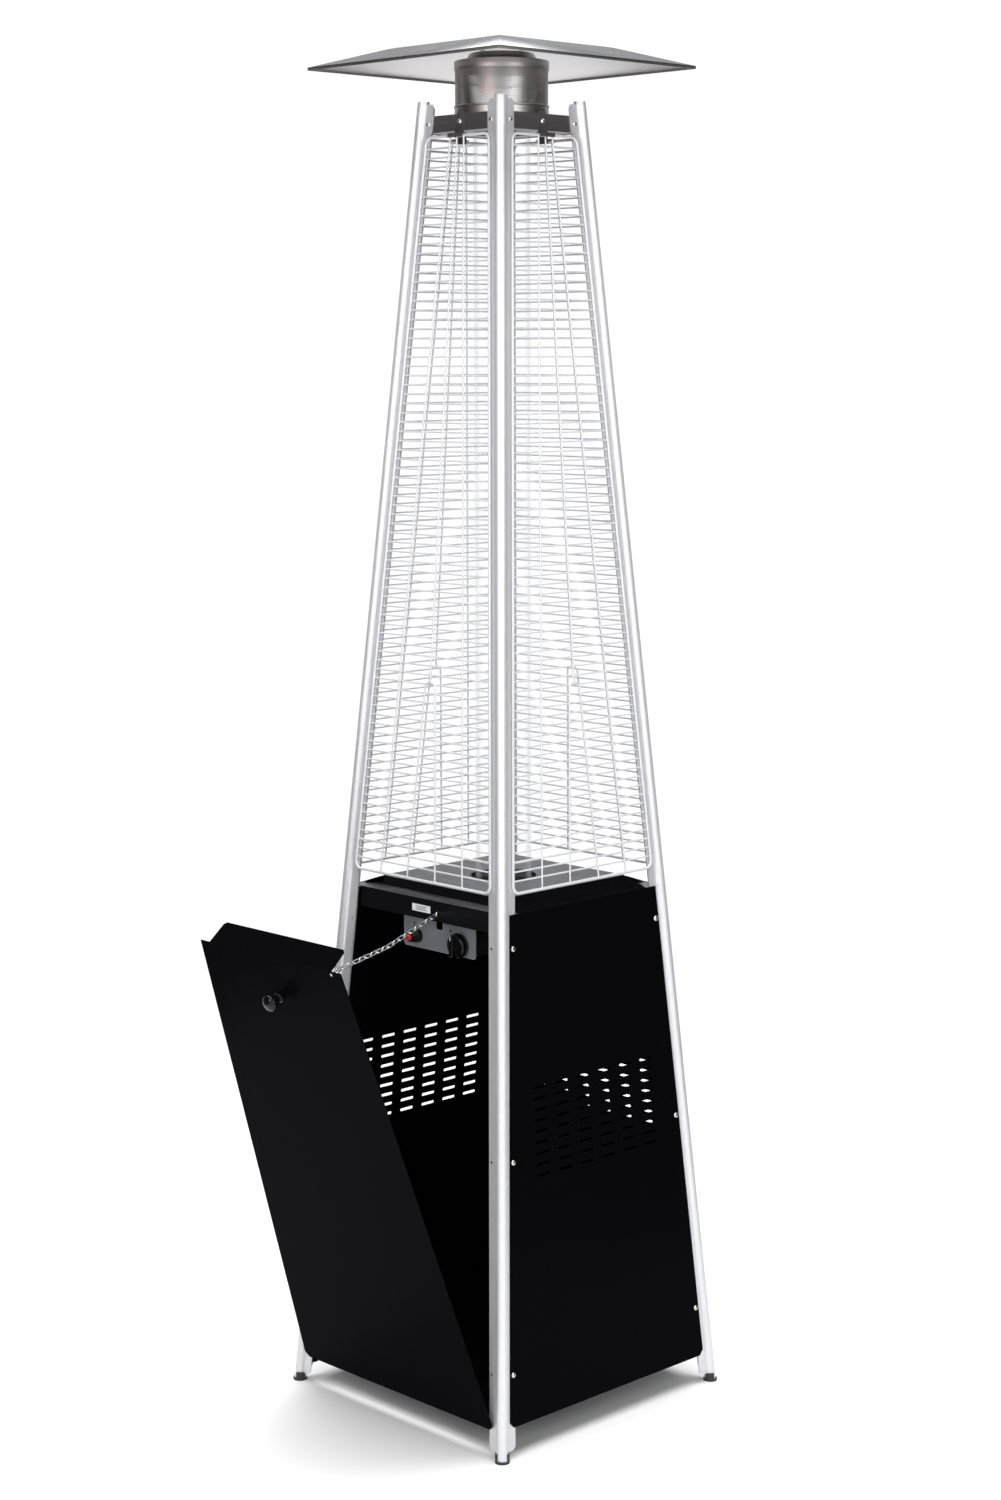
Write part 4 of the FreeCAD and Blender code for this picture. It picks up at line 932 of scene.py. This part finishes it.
# ---------------------------------------------------------------- screws
def screw_head():
    """A pan head with a cross recess, its seat at z 0."""
    radius = sizes().screw_head / MM
    head = turned("screw_head", [
        (0, 2.7), (radius * 0.35, 2.62), (radius * 0.62, 2.3), (radius * 0.84, 1.7),
        (radius * 0.96, 0.9), (radius, 0.35), (radius * 0.98, 0.0), (0, 0.0)], 20)
    for turn in (0, 90):
        nothing_selected()
        bpy.ops.mesh.primitive_cube_add(size=1, location=(0, 0, 2.6 * MM))
        cutter = bpy.context.object
        cutter.scale = (4.6 * MM, 1.1 * MM, 2.6 * MM)
        cutter.rotation_euler = (0, 0, math.radians(turn + 20))
        settled(cutter)
        modified(head, "BOOLEAN", object=cutter, operation="DIFFERENCE", solver="EXACT")
        bpy.data.objects.remove(cutter)
    return smooth(head)


class HEATER_OT_screws(bpy.types.Operator):
    """Cross-head screws of the panels, straps, clips and reflector"""

    bl_idname = "heater.screws"
    bl_label = "Screws"

    def execute(self, context):
        master = screw_head()
        low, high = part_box("panel_screws")
        reach = 4.7 * MM
        bottom, top = low.z + reach, high.z - reach
        heights = (bottom, (bottom + top) / 2, top)
        cabinet = []
        for z in heights:
            for side in (spread(z) - SCREW_INSET, SCREW_INSET - spread(z)):
                seat = pointing(on_right(PANEL_FACE, side, z), FACE_NORMAL)
                for turns in (0, 1, 2):
                    cabinet.append((seat, turns))
        z = (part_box("top_straps")[0].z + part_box("top_straps")[1].z) / 2 + MM
        head = []
        for turns in range(4):
            for side in (spread(z) - STRAP_SCREW_INSET, STRAP_SCREW_INSET - spread(z)):
                head.append((pointing(on_right(FLANGE_FACE, side, z), FACE_NORMAL), turns))
            head.append((pointing(on_right(CLIP_FACE, 0, z), FACE_NORMAL), turns))
            stud = Vector((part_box("reflector_studs")[1].x - 3 * MM, 0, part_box("reflector")[1].z))
            head.append((Matrix.Translation(stud), turns))
        for name, node, places in (
            ("panel_screw_heads", "panel_screws", cabinet),
            ("top_screw_heads", "top_screws", head),
        ):
            made = []
            for number, (seat, turns) in enumerate(places):
                spin = Matrix.Rotation(number * 1.1, 4, "Z")
                quarter = Matrix.Rotation(math.radians(90 * turns), 4, "Z")
                made.append(placed(copied(master, "screw"), quarter @ seat @ spin))
            dressed(joined(made, name), "screw_steel", "frame", node)
        bpy.data.objects.remove(master)
        return {"FINISHED"}


# ---------------------------------------------------------------- controls
def facing_front(x, y, z):
    """A matrix that carries Z to the front, with Y staying up."""
    return Matrix.Translation((x, y, z)) @ Matrix.Rotation(math.pi / 2, 4, "X")


class HEATER_OT_dial(bpy.types.Operator):
    """Control dial: a round skirt with a raised grip and a white pointer"""

    bl_idname = "heater.dial"
    bl_label = "Control dial"

    def execute(self, context):
        low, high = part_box("control_knob")
        centre = (low + high) / 2
        depth = (high.y - low.y) / MM
        radius = (high.x - low.x) / 2 / MM
        skirt = smooth(turned("dial_skirt", [
            (0, 0.2), (radius - 1.2, 0.2), (radius - 0.2, 0.6), (radius, 1.6), (radius - 0.2, 6.4),
            (radius - 1.0, 8.4), (radius - 2.6, 10.4), (radius - 5.0, 11.6), (radius - 9.0, 12.0),
            (0, 12.0)], 72))
        grip = rounded_bar("dial_grip", 11.0, 2 * radius - 2.4, depth - 4.2, 2.6, 4)
        placed(grip, Matrix.Translation((0, 0, 4 * MM)))
        only(grip)
        pick(grip, lambda v: v.co.z > 10 * MM)
        bpy.ops.transform.resize(value=(0.80, 0.93, 1), center_override=(0, 0, 0))
        finished_editing()
        knob = joined([skirt, smooth(grip, math.radians(60))], "dial_body")
        seat = facing_front(centre.x, high.y, centre.z)
        placed(knob, seat)
        dressed(knob, "knob_plastic", "knob", "control_knob")
        mark = rounded_bar("dial_mark", 1.2, 8.0, 0.5, 0.15, 1)
        placed(mark, seat @ Matrix.Translation((0, (radius - 6.6) * MM, (depth - 0.55) * MM)))
        dressed(mark, "label_white", "knob")
        return {"FINISHED"}


class HEATER_OT_igniter(bpy.types.Operator):
    """Igniter: a ribbed collar and its red push button"""

    bl_idname = "heater.igniter"
    bl_label = "Igniter"

    def execute(self, context):
        low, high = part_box("igniter_body")
        centre = (low + high) / 2
        reach = (PLATE_FRONT - low.y) / MM
        behind = (high.y - PLATE_FRONT) / MM
        bore = 6.2
        collar = smooth(turned("igniter_collar", [
            (bore, 0.5), (bore, reach - 0.5), (bore + 0.5, reach), (7.0, reach), (7.6, reach - 0.7),
            (7.9, reach - 3), (8.5, reach - 3.4), (8.7, reach - 6), (9.2, reach - 6.4),
            (9.4, reach - 9), (9.9, reach - 9.4), (10.2, reach - 12.6), (10.7, reach - 13),
            (11.0, 3.4), (11.5, 2.6), (11.5, 0.4), (11.1, 0.0), (8.2, 0.0), (8.2, -behind),
            (6.8, -behind), (6.8, -12), (bore, -12), (bore, 0.5)], 48))
        placed(collar, facing_front(centre.x, PLATE_FRONT, centre.z))
        dressed(collar, "knob_plastic", "frame", "igniter_body")
        low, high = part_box("igniter_button")
        length = (high.y - low.y) / MM
        radius = (high.x - low.x) / 2 / MM
        button = smooth(turned("igniter_cap", [
            (0, length), (radius * 0.5, length - 0.15), (radius * 0.8, length - 0.6),
            (radius * 0.95, length - 1.4), (radius, length - 2.4), (radius, 0), (0, 0)], 40))
        placed(button, facing_front(centre.x, high.y, centre.z))
        dressed(button, "button_plastic", "igniter", "igniter_button")
        return {"FINISHED"}


def flat_shape(name, outline, thick=0.06):
    """A thin printed shape from an outline in millimetres."""
    mesh = bpy.data.meshes.new(name)
    mesh.from_pydata([(x * MM, y * MM, 0) for x, y in outline], [], [range(len(outline))])
    piece = bpy.data.objects.new(name, mesh)
    bpy.context.scene.collection.objects.link(piece)
    only(piece)
    editing("FACE")
    bpy.ops.mesh.select_all(action="SELECT")
    bpy.ops.mesh.extrude_region_move(TRANSFORM_OT_translate={"value": (0, 0, thick * MM)})
    finished_editing()
    return tidy_mesh(piece)


def arc_band(radius, width, start, end, steps=24):
    """Outline of a curved stripe, in millimetres and degrees."""
    angles = [math.radians(start + (end - start) * n / steps) for n in range(steps + 1)]
    outer = [(radius * math.cos(a), radius * math.sin(a)) for a in angles]
    near = radius - width
    return outer + [(near * math.cos(a), near * math.sin(a)) for a in reversed(angles)]


class HEATER_OT_marks(bpy.types.Operator):
    """Printed signs on the control plate and lines on the small label"""

    bl_idname = "heater.marks"
    bl_label = "Printed marks"

    def execute(self, context):
        dial = (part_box("control_knob")[0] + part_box("control_knob")[1]) / 2
        button = (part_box("igniter_body")[0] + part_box("igniter_body")[1]) / 2
        around = facing_front(dial.x, PLATE_FRONT, dial.z)
        red = [placed(flat_shape("dot", [(-1.3, 26.4), (0, 23.6), (1.3, 26.4)]), around)]
        dark = []
        for number in range(9):
            tick = flat_shape("tick", [(-0.35, 23.6), (0.35, 23.6), (0.35, 25.2), (-0.35, 25.2)])
            spin = Matrix.Rotation(math.radians(30 + 22 * number), 4, "Z")
            dark.append(placed(tick, around @ spin))
        for start, width in ((208, 1.4), (230, 1.0), (252, 0.6)):
            arc = flat_shape("arc", arc_band(28.4, width, start, start + 18))
            dark.append(placed(arc, around @ Matrix.Rotation(math.radians(-26), 4, "Z")))
        flame = [(0, -3.2), (1.7, -2.6), (2.5, -1.0), (2.1, 0.8), (1.0, 2.0), (0.6, 3.9),
                 (-0.7, 2.4), (-1.0, 1.2), (-1.7, 1.6), (-2.4, -0.4), (-1.9, -2.2)]
        flame_place = Matrix.Translation((-26 * MM, 20 * MM, 0))
        dark.append(placed(flat_shape("flame", flame), around @ flame_place))
        spark = [(-0.6, 4.0), (1.9, 4.0), (0.6, 0.8), (2.2, 0.8), (-1.6, -4.2), (-0.4, -0.4),
                 (-2.0, -0.4)]
        above = facing_front(button.x, PLATE_FRONT, button.z)
        spark_place = Matrix.Translation((-9 * MM, 19 * MM, 0))
        dark.append(placed(flat_shape("spark", spark), above @ spark_place))
        ring = flat_shape("ring", arc_band(14.6, 0.5, 35, 145))
        dark.append(placed(ring, above))
        dressed(joined(dark, "plate_signs"), "foot_plastic", "frame")
        dressed(joined(red, "plate_index"), "button_plastic", "frame")
        low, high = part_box("label_plate")
        centre = (low + high) / 2
        face = facing_front(centre.x, low.y, centre.z)
        half = (high.x - low.x) / 2 / MM
        lines = []
        for n, share in enumerate((0.62, 0.5, 0.62)):
            y = 2.7 - 2.7 * n
            end = half * share
            bar = [(-end, y - 0.5), (end, y - 0.5), (end, y + 0.5), (-end, y + 0.5)]
            lines.append(placed(flat_shape("line", bar), face))
        dressed(joined(lines, "label_lines"), "foot_plastic", "frame")
        return {"FINISHED"}


class HEATER_OT_door_knob(bpy.types.Operator):
    """Round glossy knob that turns the door's latch"""

    bl_idname = "heater.door_knob"
    bl_label = "Door knob"

    def execute(self, context):
        joint = next(j for j in frame["joints"] if j["name"] == "latch_turn")
        axis = Vector(joint["axis"]).normalized()
        pivot = Vector(joint["pos_m"])
        low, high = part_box("door_knob")
        seat = pivot + axis * DOOR_SKIN
        knob = smooth(turned("knob_body", [
            (0, 30.6), (5.0, 30.3), (9.0, 29.2), (12.2, 27.2), (14.2, 24.6), (14.9, 22.0),
            (14.4, 19.6), (12.6, 17.4), (9.8, 15.4), (7.6, 13.2), (6.6, 10.4), (6.5, 4.6),
            (7.2, 3.4), (8.8, 2.6), (9.0, 1.6), (9.0, 0.0), (4.0, 0.0), (4.0, -KNOB_SPINDLE),
            (0, -KNOB_SPINDLE)], 56))
        placed(knob, pointing(seat, axis))
        dressed(knob, "knob_plastic", "latch", "door_knob")
        return {"FINISHED"}


# ---------------------------------------------------------------- carried-over parts
class HEATER_OT_finishes(bpy.types.Operator):
    """Finishes of the pieces that keep their designed shape"""

    bl_idname = "heater.finishes"
    bl_label = "Finishes"

    def execute(self, context):
        FINISH.update(finishes())
        FINISH["beam"] = beam_paint()
        for part in frame["record"]["subparts"]:
            node = frame["nodes"][part["node"]]
            wanted = "beam" if part["node"] == "front_beam" else part["material_slot"]
            node.data.materials.clear()
            node.data.materials.append(FINISH[wanted])
        return {"FINISHED"}


# ---------------------------------------------------------------- stage
def soft_light(name, location, target, width, height, power):
    lamp = bpy.data.lights.new(name, "AREA")
    lamp.shape = "RECTANGLE"
    lamp.size = width
    lamp.size_y = height
    lamp.energy = power
    holder = bpy.data.objects.new(name, lamp)
    bpy.context.scene.collection.objects.link(holder)
    holder.location = location
    aim = Vector(target) - Vector(location)
    holder.rotation_euler = aim.to_track_quat("-Z", "Y").to_euler()
    holder.visible_camera = False
    return holder


def studio_world():
    """White room with two dark side walls, plain white where the camera looks."""
    make = Finish("studio", "worlds", "ShaderNodeOutputWorld")
    around = make.node("ShaderNodeTexCoord", {}, {}, "Generated")
    turn = (0, 0, math.radians(-CAMERA_TURN))
    turned_round = make.node("ShaderNodeMapping", {}, {"Vector": around, "Rotation": turn})
    across = make.node("ShaderNodeSeparateXYZ", {}, {"Vector": turned_round}, "X")
    height = make.node("ShaderNodeSeparateXYZ", {}, {"Vector": turned_round}, "Z")
    sideways = make.node("ShaderNodeMath", {"operation": "ABSOLUTE"}, {0: across})
    level = make.ramp(sideways, 0.62, 0.86, 1.0, 0.05) * make.ramp(height, 0.10, 0.40, 1.0, 0.12)
    white = (1, 1, 1, 1)
    room = make.node("ShaderNodeBackground", {}, {"Color": white, "Strength": level})
    seen = make.node("ShaderNodeBackground", {}, {"Color": white, "Strength": BACKGROUND})
    ray = make.node("ShaderNodeLightPath", {}, {}, "Is Camera Ray")
    return make.done(make.node("ShaderNodeMixShader", {}, {0: ray, 1: room, 2: seen}))


class HEATER_OT_stage(bpy.types.Operator):
    """Pale floor, soft lights and the camera"""

    bl_idname = "heater.stage"
    bl_label = "Stage"

    def execute(self, context):
        scene = context.scene
        nothing_selected()
        turn = math.radians(CAMERA_TURN)
        toward = Vector((math.sin(turn), -math.cos(turn), 0))
        bpy.ops.mesh.primitive_plane_add(size=1)
        floor = context.object
        floor.name = "floor"
        floor.scale = (*FLOOR_SIZE, 1)
        floor.rotation_euler = (0, 0, turn)
        floor.location = toward * FLOOR_FORWARD
        settled(floor)
        make = Finish("floor_paint")
        paint = make.surface(color=colours().backdrop, rough=0.55, specular=0.2)
        floor.data.materials.append(make.done(paint))
        scene.world = studio_world()
        side = Vector((-toward.y, toward.x, 0))
        middle = Vector((0, 0, 1.1))
        soft_light("key_left", toward * 3.6 - side * 2.2 + UP * 2.6, middle, 1.6, 3.0, KEY_POWER)
        soft_light("key_right", toward * 3.6 + side * 2.2 + UP * 2.6, middle, 1.6, 3.0, KEY_POWER)
        soft_light("top", UP * 6.0 - toward * 0.6, -toward * 0.6, 7.0, 7.0, TOP_POWER)
        camera_data = bpy.data.cameras.new("camera")
        camera_data.sensor_width = 36.0
        camera_data.lens = CAMERA_LENS
        camera = bpy.data.objects.new("camera", camera_data)
        scene.collection.objects.link(camera)
        heading = Matrix.Rotation(math.radians(CAMERA_TURN - CAMERA_YAW), 4, "Z")
        tilt = Matrix.Rotation(math.radians(90 - CAMERA_PITCH), 4, "X")
        roll = Matrix.Rotation(math.radians(CAMERA_ROLL), 4, "Z")
        camera.matrix_world = Matrix.Translation(CAMERA_PLACE) @ heading @ tilt @ roll
        scene.camera = camera
        scene.view_settings.view_transform = "Standard"
        return {"FINISHED"}


class HEATER_PT_panel(bpy.types.Panel):
    bl_idname = "HEATER_PT_panel"
    bl_label = "Patio heater"
    bl_space_type = "VIEW_3D"
    bl_region_type = "UI"
    bl_category = "Heater"

    def draw(self, context):
        for group in (context.scene.heater_sizes, context.scene.heater_colours):
            for name in group.bl_rna.properties.keys():
                if name not in ("rna_type", "name"):
                    self.layout.prop(group, name)
        for operator in OPERATORS:
            self.layout.operator(operator.bl_idname)


OPERATORS = (
    HEATER_OT_stage, HEATER_OT_finishes, HEATER_OT_guards, HEATER_OT_screen, HEATER_OT_head,
    HEATER_OT_reflector, HEATER_OT_screws, HEATER_OT_dial, HEATER_OT_igniter, HEATER_OT_marks,
    HEATER_OT_door_knob,
)
CLASSES = (HeaterSizes, HeaterColours) + OPERATORS + (HEATER_PT_panel,)


def register():
    for item in CLASSES:
        bpy.utils.register_class(item)
    bpy.types.Scene.heater_sizes = bpy.props.PointerProperty(type=HeaterSizes)
    bpy.types.Scene.heater_colours = bpy.props.PointerProperty(type=HeaterColours)


def unregister():
    del bpy.types.Scene.heater_sizes
    del bpy.types.Scene.heater_colours
    for item in reversed(CLASSES):
        bpy.utils.unregister_class(item)


def main():
    register()
    for operator in OPERATORS:
        group, name = operator.bl_idname.split(".")
        getattr(getattr(bpy.ops, group), name)()
    nothing_selected()


if __name__ == "__main__":
    main()
